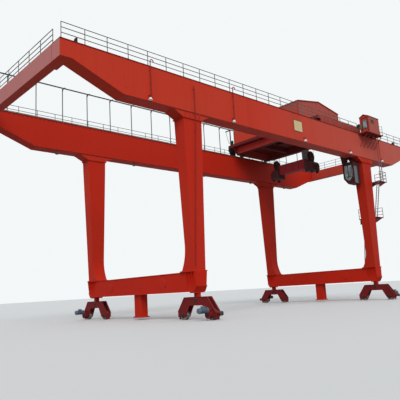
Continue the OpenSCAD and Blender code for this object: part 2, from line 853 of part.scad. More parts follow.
// Conduit pipe up the front of the near girder, bent over above the railing foot.
module girder_conduit(x) {
    r = 18;
    y = -outer_y - r - 4;
    top = girder_top + 170;
    bend = 70;
    clip = 30;
    pipe([x, y, girder_low + 40], [x, y, top + 3], r, 24);
    translate([x + bend, y, top])
        rotate([90, 0, 0])
            rotate_extrude(angle = 180, $fn = 24)
                translate([bend, 0])
                    circle(r = r - eps, $fn = 24);
    for (k = [0.15, 0.5, 0.85])
        translate([x - clip / 2, y, girder_low + k * girder_depth])
            cube([clip, -outer_y + flange_lip - y, clip]);
}

// Conduits on the near girder and down the front of the near left leg.
module conduits() {
    r = 18;
    clip = 24;
    high = [left_x + 110, near_y - leg_top_y / 2 - 64, haunch_low + 60];
    low = [left_x - leg_foot_x / 2 + 40, near_y - leg_foot_y / 2 - 40, leg_low + 150];
    color(dark) {
        for (x = [-0.353, -0.173] * girder_length)
            girder_conduit(x);
        pipe(low, high, r, 24);
        translate(high)
            sphere(r = r + eps, $fn = 32);
        pipe(high, [high[0], high[1], girder_low + girder_depth * 0.8], r, 24);
        translate([high[0] - clip / 2, high[1], girder_low + girder_depth * 0.7])
            cube([clip, -outer_y + flange_lip - high[1], clip]);
        for (k = [0.08, 0.35, 0.62, 0.9]) {
            p = low + k * (high - low);
            face = near_y - leg_foot_y / 2 - seat
                - (leg_top_y - leg_foot_y) / 2 * (p[2] + clip - leg_low) / (leg_high - leg_low);
            span_box([p[0] - clip / 2, p[1], p[2]], [p[0] + clip / 2, face, p[2] + clip]);
        }
    }
}

// Frame of the trolley: side beams over the rails, hollowed for the wheels, and cross beams.
module trolley_frame() {
    slot_w = 100;
    slot_len = 2 * trolley_wheel_r + 60;
    axle = 30;
    nose = 170;
    color(paint) {
        for (y = [-rail_y, rail_y]) {
            difference() {
                upright(y, side_beam_w)
                    polygon([[frame_x0, side_beam_high], [frame_x0, side_beam_low + nose],
                        [frame_x0 + nose, side_beam_low], [frame_x1 - nose, side_beam_low],
                        [frame_x1, side_beam_low + nose], [frame_x1, side_beam_high]]);
                for (s = [-1, 1])
                    translate([frame_x + s * trolley_base / 2, y, side_beam_low + 130])
                        cube([slot_len, slot_w, 280], center = true);
            }
            for (s = [-1, 1])
                rod_y([frame_x + s * trolley_base / 2, y, trolley_axle_z], axle, side_beam_w + 30, 24);
        }
        for (x = [frame_x0 + cross_beam_w / 2, frame_x1 - cross_beam_w / 2])
            upright(0, 2 * rail_y - side_beam_w + 40)
                translate([x - cross_beam_w / 2, side_beam_low + 20])
                    square([cross_beam_w, side_beam_high - side_beam_low - 20]);
        for (y = [-rope_y - 420, rope_y + 420])
            span_box([frame_x0 + cross_beam_w, y - 80, side_beam_low + 120],
                [frame_x1 - cross_beam_w, y + 80, side_beam_high]);
    }
}

// Trolley wheels on their axles.
module trolley_wheels() {
    tread_w = 70;
    hub_r = 55;
    dish = 14;
    color(steel)
        for (y = [-rail_y, rail_y], s = [-1, 1])
            translate([frame_x + s * trolley_base / 2, y, trolley_axle_z])
                rotate([90, 0, 0])
                    rotate_extrude($fn = 48)
                        polygon([[30, -tread_w / 2], [hub_r, -tread_w / 2], [hub_r + dish, -dish],
                            [trolley_wheel_r - 2 * dish, -dish], [trolley_wheel_r - dish, -tread_w / 2],
                            [trolley_wheel_r, -tread_w / 2], [trolley_wheel_r, tread_w / 2],
                            [trolley_wheel_r - dish, tread_w / 2], [trolley_wheel_r - 2 * dish, dish],
                            [hub_r + dish, dish], [hub_r, tread_w / 2], [30, tread_w / 2]]);
}

// Deck of the trolley with a folded edge, open in the middle for the ropes.
module trolley_deck() {
    open_x = rope_x + 130;
    open_y = rope_y + 110;
    fold = 110;
    color(paint) {
        difference() {
            span_box([deck_x0, -deck_width / 2, side_beam_high], [deck_x1, deck_width / 2, deck_z]);
            span_box([trolley_x - open_x, -open_y, side_beam_high - eps],
                [trolley_x + open_x, open_y, deck_z + eps]);
        }
        span_box([deck_x0, -rail_y + side_beam_w / 2, side_beam_high - fold],
            [deck_x0 + shell, rail_y - side_beam_w / 2, side_beam_high + eps]);
        for (y = [-deck_width / 2, deck_width / 2 - shell])
            span_box([deck_x0, y, side_beam_high - fold], [frame_x0, y + shell, side_beam_high + eps]);
    }
}

// Window openings in the far gable of the machinery house: a row along X.
module window_row(thick) {
    for (k = [-2 : 2])
        translate([trolley_x + k * window_pitch, house_y1 - wall_t / 2, window_z + window_h / 2])
            cube([window_w, thick, window_h], center = true);
}

// Doorway of the machinery house, in its right wall.
module doorway(thick) {
    translate([deck_x1 - wall_t / 2, house_y0 + 800, deck_z + door_h / 2])
        cube([thick, door_w, door_h], center = true);
}

// Walls of the machinery house: two long walls across the girders and two gables.
module house_walls() {
    color(paint) {
        difference() {
            for (x = [deck_x0, deck_x1 - wall_t])
                span_box([x, house_y0, deck_z], [x + wall_t, house_y1, eave_z]);
            doorway(wall_t + 2 * eps);
            for (y = [house_y0 + 1700, house_y0 + 3000])
                translate([deck_x0 + wall_t / 2, y, window_z + window_h / 2])
                    cube([wall_t + 2 * eps, window_w, window_h], center = true);
        }
        difference() {
            for (y = [house_y0 + wall_t / 2, house_y1 - wall_t / 2])
                upright(y, wall_t)
                    polygon([[deck_x0, deck_z], [deck_x1, deck_z], [deck_x1, eave_z],
                        [deck_x1 - wall_t, eave_z], [trolley_x, ridge_z], [deck_x0 + wall_t, eave_z],
                        [deck_x0, eave_z]]);
            window_row(wall_t + 2 * eps);
        }
    }
}

// Panes and door leaf in the openings of the machinery house.
module house_windows() {
    leaf = 16;
    color("lightsteelblue") {
        window_row(glass);
        for (y = [house_y0 + 1700, house_y0 + 3000])
            translate([deck_x0 + wall_t / 2, y, window_z + window_h / 2])
                cube([glass, window_w, window_h], center = true);
        doorway(leaf);
    }
}

// Gable roof of the machinery house, in one folded sheet.
module house_roof() {
    lip = 30;
    slope = house_rise / (deck_length / 2 - wall_t);
    drop = lip * slope - seat;
    top = ridge_z + wall_t * slope + seat;
    color(paint)
        upright((house_y0 + house_y1) / 2, house_length + 2 * lip)
            polygon([[deck_x0 - lip, eave_z - drop], [trolley_x, top], [deck_x1 + lip, eave_z - drop],
                [deck_x1 + lip, eave_z - drop + roof_t], [trolley_x, top + roof_t],
                [deck_x0 - lip, eave_z - drop + roof_t]]);
}

// Travel drive on the far corner of the trolley, with the arm that tows the cables.
module tow_arm() {
    post = 50;
    post_x = deck_x0 + 40;
    motor_x = deck_x0 + 190;
    y = deck_width / 2 - 120;
    arm_z = girder_top + track_height - 200;
    box_r = 150;
    box_t = 130;
    motor_h = 330;
    box_low = side_beam_high - 200;
    color(dark) {
        span_box([post_x - post / 2, y - post / 2, deck_z], [post_x + post / 2, y + post / 2, arm_z]);
        span_box([post_x - post / 2, y - eps, arm_z - post],
            [post_x + post / 2, track_y + post / 2, arm_z]);
        translate([motor_x, y, deck_z])
            rotate_extrude($fn = 32)
                polygon([[0, 0], [motor_r, 0], [motor_r, 20], [motor_r - 20, 40],
                    [motor_r - 20, motor_h - 60], [motor_r - 50, motor_h], [0, motor_h]]);
        rod_y([motor_x, (deck_width + box_t) / 2, box_low], box_r, box_t, 32);
        span_box([motor_x - box_r + 20, deck_width / 2, box_low],
            [motor_x + box_r - 20, deck_width / 2 + box_t, deck_z - eps]);
    }
}

// Hoist drum over the deck opening, with flanges and between two bearing stands.
module hoist_drum() {
    half = rope_y + 160;
    shaft_r = 60;
    stand_y = half + 110;
    stand_t = 90;
    flange_t = 25;
    color(steel) {
        translate([trolley_x, 0, rope_high])
            rotate([90, 0, 0])
                rotate_extrude($fn = 96)
                    polygon([[0, -stand_y - stand_t], [shaft_r, -stand_y - stand_t],
                        [shaft_r, -half - flange_t],
                        [drum_r + 30, -half - flange_t], [drum_r + 30, -half], [drum_r, -half],
                        [drum_r, half], [drum_r + 30, half], [drum_r + 30, half + flange_t],
                        [shaft_r, half + flange_t], [shaft_r, stand_y + stand_t], [0, stand_y + stand_t]]);
        for (s = [-1, 1])
            upright(s * (stand_y + stand_t / 2), stand_t)
                polygon([[trolley_x - 260, deck_z], [trolley_x + 260, deck_z],
                    [trolley_x + 90, rope_high + 90], [trolley_x - 90, rope_high + 90]]);
    }
}

// Hoist ropes between the trolley and the head block of the spreader.
module hoist_ropes() {
    color("black")
        for (sx = [-1, 1], sy = [-1, 1])
            translate([trolley_x + sx * rope_x, sy * rope_y, rope_low])
                cylinder(h = rope_high - rope_low, r = rope_r, $fn = 8);
}

// Spreader: a main box beam with flange plates between its end blocks.
module spreader_beam() {
    half = spreader_length / 2 - block_len;
    plate = 20;
    rib_count = 5;
    color("darkred") {
        span_box([trolley_x - main_beam_w / 2 + plate, -half, main_beam_low + eps],
            [trolley_x + main_beam_w / 2 - plate, half, main_beam_low + main_beam_h - eps]);
        for (z = [main_beam_low, main_beam_low + main_beam_h - plate])
            span_box([trolley_x - main_beam_w / 2, -half, z], [trolley_x + main_beam_w / 2, half, z + plate]);
        for (k = [0 : rib_count - 1])
            translate([trolley_x, (2 * k / (rib_count - 1) - 1) * (half - plate),
                main_beam_low + main_beam_h / 2])
                cube([main_beam_w, plate / 2, main_beam_h], center = true);
    }
}

// End blocks of the spreader, rounded at their outer ends, each with a sheave between cheeks.
module spreader_head() {
    cheek_t = 25;
    cheek_gap = 45;
    cheek_r = 200;
    hook_w = 110;
    sheave_half = 30;
    axle_half = cheek_gap + cheek_t + 15;
    round_r = 260;
    color(dark)
        for (s = [-1, 1]) {
            crosswise(trolley_x, spreader_span)
                scale([s, 1])
                    polygon(concat([[spreader_length / 2 - block_len, spreader_low],
                        [spreader_length / 2 - 60, spreader_low],
                        [spreader_length / 2, spreader_low + 60]],
                        [for (a = [0 : 10 : 90]) [spreader_length / 2 - round_r * (1 - cos(a)),
                            spreader_low + block_h - round_r * (1 - sin(a))]],
                        [[spreader_length / 2 - block_len, spreader_low + block_h]]));
            for (k = [-1, 1])
                upright(s * rope_y + k * (cheek_gap + cheek_t / 2), cheek_t)
                    union() {
                        translate([trolley_x, rope_low])
                            circle(r = cheek_r, $fn = 48);
                        translate([trolley_x - cheek_r, spreader_low + block_h - eps])
                            square([2 * cheek_r, rope_low - spreader_low - block_h + eps]);
                    }
            translate([trolley_x, s * rope_y, rope_low])
                rotate([90, 0, 0])
                    rotate_extrude($fn = 64)
                        polygon([[0, -axle_half], [axle_r, -axle_half], [axle_r, -sheave_half],
                            [sheave_rim, -sheave_half], [sheave_rim, -rope_r - 4],
                            [drum_r, -rope_r - 2], [drum_r, rope_r + 2], [sheave_rim, rope_r + 4],
                            [sheave_rim, sheave_half], [axle_r, sheave_half], [axle_r, axle_half],
                            [0, axle_half]]);
            for (k = [-1, 1])
                translate([trolley_x + k * (spreader_span - hook_w) / 2, s * (spreader_length / 2 - 160),
                    spreader_low - hook_w / 2])
                    cube([hook_w, hook_w, hook_w], center = true);
        }
}

// Bogie frame: two A-shaped side plates, cross plates, pin, axles, buffer and drive.
module bogie(x, y, outward) {
    a = axle_spacing / 2;
    crown = 620;
    shoulder = wheel_flange_r + 100;
    crown_z = pivot_height + 115;
    foot_z = wheel_flange_r - 90;
    arch_z = wheel_flange_r + 320;
    arch_y = a - 400;
    shaft = 2 * (side_gap + bogie_plate) + 20;
    color(paint) {
        for (s = [-1, 1])
            crosswise(x + s * (side_gap + bogie_plate / 2), bogie_plate)
                translate([y, 0])
                    polygon([[-bogie_end, foot_z], [-bogie_end, shoulder], [-crown, crown_z],
                        [crown, crown_z], [bogie_end, shoulder], [bogie_end, foot_z],
                        [a - 160, foot_z], [arch_y, arch_z], [-arch_y, arch_z], [-a + 160, foot_z]]);
        for (s = [-1, 1]) {
            span_box([x - side_gap - eps, y + s * (bogie_end - 15) - 15, foot_z + 40],
                [x + side_gap + eps, y + s * (bogie_end - 15) + 15, shoulder]);
            span_box([x - side_gap - eps, y + s * 320 - 15, arch_z + 20],
                [x + side_gap + eps, y + s * 320 + 15, crown_z - 30]);
            rod_x([x, y + s * a, wheel_flange_r], axle_r, shaft, 32);
        }
        rod_x([x, y, pivot_height], pin_r, shaft, 48);
        rod_y([x, y + outward * (bogie_end + buffer_len / 2), shoulder - 70], 60, buffer_len, 24);
        drive(x, y + outward * a);
    }
}

// Gearbox and motor on the outer wheel of a bogie, on the side away from the load.
module drive(x, y) {
    box_r = 140;
    box_t = 150;
    away = x < 0 ? -1 : 1;
    plate_x = x + away * (side_gap + bogie_plate);
    box_x = plate_x + away * box_t / 2;
    motor_len = 420;
    motor_z = wheel_flange_r + 150;
    bell = 70;
    rod_x([box_x, y, wheel_flange_r], box_r, box_t, 32);
    span_box([box_x - box_t / 2, y - 110, wheel_flange_r], [box_x + box_t / 2, y + 110, motor_z + 60]);
    translate([plate_x + away * (box_t - eps), y, motor_z])
        rotate([0, away * 90, 0])
            rotate_extrude($fn = 32)
                polygon([[0, 0], [motor_r, 0], [motor_r, 24], [motor_r - 16, 40],
                    [motor_r - 16, motor_len - bell], [motor_r - 6, motor_len - bell],
                    [motor_r - 6, motor_len - 12], [motor_r - 30, motor_len], [0, motor_len]]);
}

module bogie_near_left() {
    bogie(left_x, near_y, -1);
}

module bogie_far_left() {
    bogie(left_x, far_y, 1);
}

module bogie_near_right() {
    bogie(right_x, near_y, -1);
}

module bogie_far_right() {
    bogie(right_x, far_y, 1);
}

// Double-flanged travel wheel with a dished web, bored for its axle.
module travel_wheel(x, y) {
    flange_t = 22;
    half = wheel_width / 2;
    hub_r = 75;
    rim_in = tread_r - 40;
    web = 24;
    translate([x, y, wheel_flange_r])
        rotate([0, 90, 0])
            color(steel)
                rotate_extrude($fn = 64)
                    polygon([[axle_r + pin_clear, -half], [hub_r, -half], [hub_r, -web], [rim_in, -web],
                        [rim_in, -half], [wheel_flange_r, -half], [wheel_flange_r, -half + flange_t],
                        [tread_r, -half + flange_t + 6], [tread_r, half - flange_t - 6],
                        [wheel_flange_r, half - flange_t], [wheel_flange_r, half], [rim_in, half],
                        [rim_in, web], [hub_r, web], [hub_r, half], [axle_r + pin_clear, half]]);
}

module wheel_near_left_outer() {
    travel_wheel(left_x, near_y - axle_spacing / 2);
}

module wheel_near_left_inner() {
    travel_wheel(left_x, near_y + axle_spacing / 2);
}

module wheel_far_left_outer() {
    travel_wheel(left_x, far_y + axle_spacing / 2);
}

module wheel_far_left_inner() {
    travel_wheel(left_x, far_y - axle_spacing / 2);
}

module wheel_near_right_outer() {
    travel_wheel(right_x, near_y - axle_spacing / 2);
}

module wheel_near_right_inner() {
    travel_wheel(right_x, near_y + axle_spacing / 2);
}

module wheel_far_right_outer() {
    travel_wheel(right_x, far_y + axle_spacing / 2);
}

module wheel_far_right_inner() {
    travel_wheel(right_x, far_y - axle_spacing / 2);
}

near_girder();
far_girder();
end_beams();
leg_haunches();
legs();
leg_flanges();
sills();
anchor_posts();
pivot_brackets();
trolley_rails();
rail_stops();
handrails();
cable_track();
cable_loops();
electric_house();
electric_house_platform();
cab_body();
cab_windows();
cab_hanger();
door_panels();
landings();
ladders();
floodlights();
conduits();
trolley_frame();
trolley_deck();
trolley_wheels();
house_walls();
house_windows();
house_roof();
tow_arm();
hoist_drum();
hoist_ropes();
spreader_beam();
spreader_head();
bogie_near_left();
wheel_near_left_outer();
wheel_near_left_inner();
bogie_far_left();
wheel_far_left_outer();
wheel_far_left_inner();
bogie_near_right();
wheel_near_right_outer();
wheel_near_right_inner();
bogie_far_right();
wheel_far_right_outer();
wheel_far_right_inner();
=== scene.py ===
"""Looks of a rail-mounted double-girder gantry crane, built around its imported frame.

Metres throughout, +X along the girders, +Y along the crane's travel, +Z up.
"""
import math

import bmesh
import bpy
import numpy as np
from mathutils import Matrix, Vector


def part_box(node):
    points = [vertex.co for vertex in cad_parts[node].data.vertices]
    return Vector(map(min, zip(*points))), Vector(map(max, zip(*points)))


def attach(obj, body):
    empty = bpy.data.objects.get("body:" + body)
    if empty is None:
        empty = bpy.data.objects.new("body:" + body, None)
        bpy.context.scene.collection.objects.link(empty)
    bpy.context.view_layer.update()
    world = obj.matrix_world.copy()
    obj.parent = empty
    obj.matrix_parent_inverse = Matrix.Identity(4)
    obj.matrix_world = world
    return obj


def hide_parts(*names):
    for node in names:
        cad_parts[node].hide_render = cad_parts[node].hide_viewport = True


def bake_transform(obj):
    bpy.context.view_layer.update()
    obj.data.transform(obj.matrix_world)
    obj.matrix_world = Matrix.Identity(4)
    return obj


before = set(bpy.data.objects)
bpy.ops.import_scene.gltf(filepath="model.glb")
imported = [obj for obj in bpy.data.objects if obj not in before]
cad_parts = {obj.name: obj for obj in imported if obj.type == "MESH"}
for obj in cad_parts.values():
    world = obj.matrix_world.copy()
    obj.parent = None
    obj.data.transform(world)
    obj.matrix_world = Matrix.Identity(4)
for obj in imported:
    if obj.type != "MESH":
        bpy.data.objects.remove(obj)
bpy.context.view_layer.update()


def corners(node):
    """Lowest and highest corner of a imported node, as arrays."""
    low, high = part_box(node)
    return np.array(low), np.array(high)


def middle(node):
    low, high = corners(node)
    return (low + high) / 2


def steps(start, end, pitch):
    """Evenly spaced places from start to end, as near to the pitch as whole numbers allow."""
    count = max(1, round(abs(end - start) / pitch))
    return np.linspace(start, end, count + 1)


def at(x, y, z):
    """Places from their coordinates, each of them an array or a single number."""
    return np.stack(np.broadcast_arrays(x, y, z), axis=-1).astype(float)


def around(x, y, half_x, half_y, pitch):
    """The x and the y of places along the four sides of a rectangle about x and y, a pitch apart."""
    along = steps(-half_x, half_x, pitch)
    across = steps(-half_y, half_y, pitch)[1:-1]
    sides = [at(along, edge, 0) for edge in (-half_y, half_y)]
    sides += [at(edge, across, 0) for edge in (-half_x, half_x)]
    return np.concatenate(sides).T[:2] + [[x], [y]]


def spokes(axis, turn):
    """Unit vectors across an axis: the cosine of each turn one way and its sine the other."""
    first, second = [np.roll(np.eye(3)[axis], shift) for shift in (1, 2)]
    return np.cos(turn)[:, None] * first + np.sin(turn)[:, None] * second


def band(line, down, up):
    """Outline of a strip along a line, from a little below it to a little above it."""
    return [(a, b - down) for a, b in line] + [(a, b + up) for a, b in line[::-1]]


def grid_cells(rows, columns, around):
    """Numbers of a grid's points, and of the four corners of each of its cells."""
    index = np.arange(rows * columns).reshape(rows, columns)
    if around:
        index = np.concatenate([index, index[:, :1]], axis=1)
    cells = np.stack([index[:-1, :-1], index[1:, :-1], index[1:, 1:], index[:-1, 1:]], axis=-1)
    return index, cells.reshape(-1, 4)


GIRDER_LOW, GIRDER_HIGH = corners("near_girder")
FAR_LOW, FAR_HIGH = corners("far_girder")
GIRDER_TOP = GIRDER_HIGH[2]
GIRDER_UNDER = GIRDER_LOW[2]
LIP = 0.02
FLANGE = 0.025
FACES_Y = (GIRDER_LOW[1] + LIP, GIRDER_HIGH[1] - LIP, FAR_LOW[1] + LIP, FAR_HIGH[1] - LIP)
CORNERS = ("near_left", "far_left", "near_right", "far_right")
BOGIES = {corner: middle("wheel_" + corner + "_outer") for corner in CORNERS}
LEG_X = sorted({round(float(place[0]), 4) for place in BOGIES.values()})
LEG_Y = (float(middle("near_girder")[1]), float(middle("far_girder")[1]))
FLANGES_LOW, FLANGES_HIGH = corners("leg_flanges")
SILL_LOW, SILL_HIGH = corners("sills")
HOUSE_LOW, HOUSE_HIGH = corners("house_walls")
ROOF_LOW, ROOF_HIGH = corners("house_roof")
HUT_LOW, HUT_HIGH = corners("electric_house")
DECK_LOW, DECK_HIGH = corners("electric_house_platform")
FRAME_LOW, FRAME_HIGH = corners("trolley_frame")
CAB_LOW, CAB_HIGH = corners("cab_body")
ROPES_LOW, ROPES_HIGH = corners("hoist_ropes")
RAILS_LOW, RAILS_HIGH = corners("trolley_rails")
END_UNDER = corners("end_beams")[0][2]
END_FLAT = 0.42
TAPER = 2.0
BAR = 0.02
RAIL_FOOT = 0.045
ROPE_RADIUS = 0.009
# Half sizes of a leg at its head and at its foot, and how far its knee reaches inwards
LEG_HEAD = (0.47, 0.28)
LEG_FOOT = (0.27, 0.22)
KNEE = 0.32
SILL_WEB = 0.26
# Bogie: half the axle distance, half the width over its side plates, pin height and gearbox depth
AXLE_Y = 0.76
BOGIE_SIDE = 0.12
PIN_Z = 0.7
GEARBOX = 0.15
# Machinery house: middle, wall, roof, and where its windows and its door are
HOUSE_X = (HOUSE_LOW[0] + HOUSE_HIGH[0]) / 2
WALL = 0.05
ROOF_SHEET = 0.022
ROOF_RISE = 0.33
HALF_WINDOW = 0.17
FAR_WINDOWS = HOUSE_X + np.arange(-2, 3) * 0.56
LEFT_WINDOWS = HOUSE_LOW[1] + np.array((1.7, 3.0))
HOUSE_DOOR = HOUSE_LOW[1] + 0.8
# Lamps: places as shares of the girders' length, and the top of a bell above the girder's underside
LAMP_SHARES = (-0.357, -0.178, 0.029, 0.199, 0.342)
BELL_TOP = 0.11


def placed(name, data):
    """Object that holds the data, in the scene."""
    thing = bpy.data.objects.new(name, data)
    bpy.context.scene.collection.objects.link(thing)
    return thing


class Mesh:
    """Points and faces gathered from several surfaces, to become one piece."""

    def __init__(self):
        self.points = []
        self.faces = []
        self.count = 0

    def add(self, points, faces):
        points = np.asarray(points, float).reshape(-1, 3)
        self.points.append(points)
        self.faces += [[index + self.count for index in face] for face in faces]
        self.count += len(points)
        return self

    def grid(self, points, around=False, ends=False):
        """Surface through points[i, j], with i along and j across, closed across when around."""
        rows, columns = points.shape[:2]
        index, cells = grid_cells(rows, columns, around)
        faces = cells.tolist()
        if ends:
            faces += [index[0, :columns].tolist(), index[-1, :columns][::-1].tolist()]
        return self.add(points, faces)

    def tube(self, path, radius, sides=8, side=(0.0, 0.0, 1.0)):
        """Circle carried along a path."""
        along = np.gradient(path, axis=0)
        along /= np.linalg.norm(along, axis=1, keepdims=True)
        across = np.cross(along, side)
        across /= np.linalg.norm(across, axis=1, keepdims=True)
        third = np.cross(along, across)
        turn = np.linspace(0, 2 * math.pi, sides, endpoint=False)
        ring = across[:, None] * np.cos(turn)[None, :, None] + third[:, None] * np.sin(turn)[None, :, None]
        return self.grid(path[:, None] + ring * radius, around=True, ends=True)

    def turned(self, outline, centre, axis, sides=24, out=1):
        """Outline of (radius, distance along the axis), turned about that axis through the centre."""
        outline = np.asarray(outline, float) * (1, out)
        spoke = spokes(axis, np.linspace(0, 2 * math.pi, sides, endpoint=False))
        points = outline[:, 1, None, None] * np.eye(3)[axis] + outline[:, 0, None, None] * spoke
        return self.grid(np.asarray(centre, float) + points, around=True, ends=True)

    def blocks(self, low, high):
        """One box for each pair of opposite corners."""
        low, high = np.broadcast_arrays(np.atleast_2d(low).astype(float), np.atleast_2d(high).astype(float))
        pick = np.array([[i, j, k] for k in (0, 1) for j in (0, 1) for i in (0, 1)])
        points = np.where(pick[None] > 0, high[:, None], low[:, None])
        face = np.array([[0, 2, 3, 1], [4, 5, 7, 6], [0, 1, 5, 4], [2, 6, 7, 3], [0, 4, 6, 2], [1, 3, 7, 5]])
        faces = (np.arange(len(low))[:, None, None] * 8 + face).reshape(-1, 4)
        return self.add(points, faces.tolist())

    def span(self, x, y, z):
        """Boxes between two ends on each axis, given in either order."""
        ends = [np.sort(np.broadcast_arrays(*pair), axis=0) for pair in (x, y, z)]
        return self.blocks(at(*[pair[0] for pair in ends]), at(*[pair[1] for pair in ends]))

    def plates(self, outline, axis, places, thick):
        """Flat outline in the plane across an axis, given thickness about each place on that axis."""
        outline = np.asarray(outline, float)
        for place in np.atleast_1d(places):
            flat = [outline[:, 0], outline[:, 1]]
            flat.insert(axis, np.array([[place - thick / 2], [place + thick / 2]]))
            self.grid(at(*flat), around=True, ends=True)
        return self

    def frame(self, axis, face, depth, low, high, width):
        """Four bars round an opening in the plane across an axis, from low to high in the other two."""
        (a0, b0), (a1, b1) = low, high
        wide, upright = (a0 - width, a1 + width), (b0, b1)
        bars = ((wide, (b0 - width, b0)), (wide, (b1, b1 + width)),
                ((a0 - width, a0), upright), ((a1, a1 + width), upright))
        for bar in bars:
            sides = list(bar)
            sides.insert(axis, (face, face + depth))
            self.span(*sides)

    def bolts(self, places, axis, radius, head, sides=6):
        """Bolt heads on washers, which stand out along the signed axis (1 to 3) from each place."""
        places = np.atleast_2d(places)
        number = abs(axis) - 1
        out = np.eye(3)[number] * (1 if axis > 0 else -1)
        spoke = spokes(number, np.arange(sides) * 2 * math.pi / sides)
        rings = ((1.45, 0.0), (1.45, 0.18), (1.0, 0.18), (1.0, 0.85), (0.82, 1.0))
        shape = np.array([spoke * radius * wide + out * head * high for wide, high in rings])
        index, cells = grid_cells(len(rings), sides, True)
        first = np.arange(len(places))[:, None] * len(rings) * sides
        faces = (first[:, None] + cells).reshape(-1, 4).tolist() + (first + index[-1, :sides]).tolist()
        return self.add(places[:, None, None] + shape, faces)

    def bolt_ring(self, centre, axis, reach, count, radius, head, start=0.0):
        """Bolts round a circle across the signed axis, at the cosine and sine of equal turns."""
        turn = start + np.arange(count) * 2 * math.pi / count
        return self.bolts(centre + reach * spokes(abs(axis) - 1, turn), axis, radius, head)

    def bead(self, start, end, radius, out, pitch=0.012):
        """Weld bead: half a circle carried along a line, with ripples a pitch apart."""
        start, end, out = [np.asarray(value, float) for value in (start, end, out)]
        length = np.linalg.norm(end - start)
        share = np.linspace(0, 1, max(2, int(length / pitch * 2)))
        across = np.cross((end - start) / length, out)
        turn = np.linspace(0, math.pi, 5)
        swell = radius * (1 + 0.16 * np.cos(np.arange(len(share)) * math.pi))
        arc = np.cos(turn)[:, None] * across + np.sin(turn)[:, None] * out
        points = start + share[:, None, None] * (end - start) + swell[:, None, None] * arc
        return self.grid(points, around=True, ends=True)

    def piece(self, name, body, material, slot, smooth=False, bevel=0.0):
        """Makes the object: at the origin, faces outwards, riding on a body."""
        data = bpy.data.meshes.new(name)
        data.from_pydata(np.concatenate(self.points).tolist(), [], self.faces)
        work = bmesh.new()
        work.from_mesh(data)
        bmesh.ops.recalc_face_normals(work, faces=work.faces)
        work.to_mesh(data)
        work.free()
        if smooth:
            data.shade_smooth()
        data.materials.append(material)
        thing = placed(name, data)
        if bevel:
            rounding = thing.modifiers.new("rounding", "BEVEL")
            rounding.width = bevel
            rounding.segments = 2
            rounding.limit_method = "ANGLE"
            rounding.harden_normals = True
        if body:
            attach(thing, body)
        return thing


class Value:
    """A shader socket that takes part in Python sums."""

    def __init__(self, nodes, socket):
        self.nodes = nodes
        self.socket = socket

    def maths(self, operation, *terms):
        return self.nodes.node("ShaderNodeMath", {"operation": operation}, dict(enumerate(terms)))

    def __add__(self, other):
        return self.maths("ADD", self, other)

    def __mul__(self, other):
        return self.maths("MULTIPLY", self, other)

    def __gt__(self, other):
        return self.maths("GREATER_THAN", self, other)

    def __lt__(self, other):
        return self.maths("LESS_THAN", self, other)

    def __or__(self, other):
        return self.maths("MAXIMUM", self, other)

    def __abs__(self):
        return self.maths("ABSOLUTE", self)

    __radd__ = __add__


class Nodes:
    """The nodes of a material or of the world, which all come from the one method node."""

    def __init__(self, owner):
        owner.use_nodes = True
        self.tree = owner.node_tree
        self.tree.nodes.clear()

    def node(self, kind, settings=None, sockets=None, out=0):
        """Adds a node: its settings first, then the values or links of its sockets."""
        node = self.tree.nodes.new(kind)
        for key, value in (settings or {}).items():
            if key == "stops":
                for element, (place, grey) in zip(node.color_ramp.elements, value):
                    element.position = place
                    element.color = (grey, grey, grey, 1.0)
            else:
                setattr(node, key, value)
        for key, value in (sockets or {}).items():
            self.put(node.inputs[key], value)
        return Value(self, node.outputs[out] if node.outputs else None)

    def put(self, socket, value):
        if isinstance(value, Value):
            self.tree.links.new(value.socket, socket)
        elif socket.type == "RGBA":
            socket.default_value = (*value, 1.0)
        else:
            socket.default_value = value

    def mix(self, factor, first, second):
        """Colour between first and second."""
        return self.node("ShaderNodeMix", {"data_type": "RGBA"}, {0: factor, 6: first, 7: second}, out=2)

    def background_seen(self):
        """One for rays from the camera and for those that reach it by way of metal or glass."""
        camera, glossy, clear = [self.node("ShaderNodeLightPath", out=name)
                                 for name in ("Is Camera Ray", "Is Glossy Ray", "Is Transmission Ray")]
        return camera | glossy | clear


class Finish(Nodes):
    """A material under construction, on one shader whose constants are given by their sockets' names."""

    def __init__(self, name, constants):
        self.material = bpy.data.materials.new(name)
        super().__init__(self.material)
        shader = self.node("ShaderNodeBsdfPrincipled", None, constants)
        self.node("ShaderNodeOutputMaterial", None, {0: shader})
        self.shader = shader.socket.node

    def set(self, name, value):
        self.put(self.shader.inputs[name], value)

    def noise(self, scale, detail=4.0, stretch=(1.0, 1.0, 1.0), rough=0.55):
        """Noise over the object's own coordinates, which are stretched first."""
        spot = self.node("ShaderNodeTexCoord", out="Object")
        spot = self.node("ShaderNodeMapping", None, {"Vector": spot, "Scale": stretch})
        return self.node("ShaderNodeTexNoise", None,
                         {"Vector": spot, "Scale": scale, "Detail": detail, "Roughness": rough})

    def ramp(self, factor, low, high):
        """Rises from none at low to one at high, as a grey."""
        return self.node("ShaderNodeValToRGB", {"stops": ((low, 0.0), (high, 1.0))}, {0: factor})

    def spread(self, value, low, high):
        """Rises from none at low to one at high, which may also lie below low."""
        return self.node("ShaderNodeMapRange", {"clamp": True}, {0: value, 1: low, 2: high})

    def along(self, axis):
        """Object coordinate along one axis."""
        place = self.node("ShaderNodeTexCoord", out="Object")
        return self.node("ShaderNodeSeparateXYZ", None, {0: place}, axis)

    def facing(self, axis):
        """Share of the surface normal along one axis, from -1 to 1."""
        normal = self.node("ShaderNodeNewGeometry", out="Normal")
        return self.node("ShaderNodeSeparateXYZ", None, {0: normal}, axis)

    def bump(self, height, strength, distance):
        sockets = {"Strength": strength, "Distance": distance, "Height": height}
        self.set("Normal", self.node("ShaderNodeBump", None, sockets))


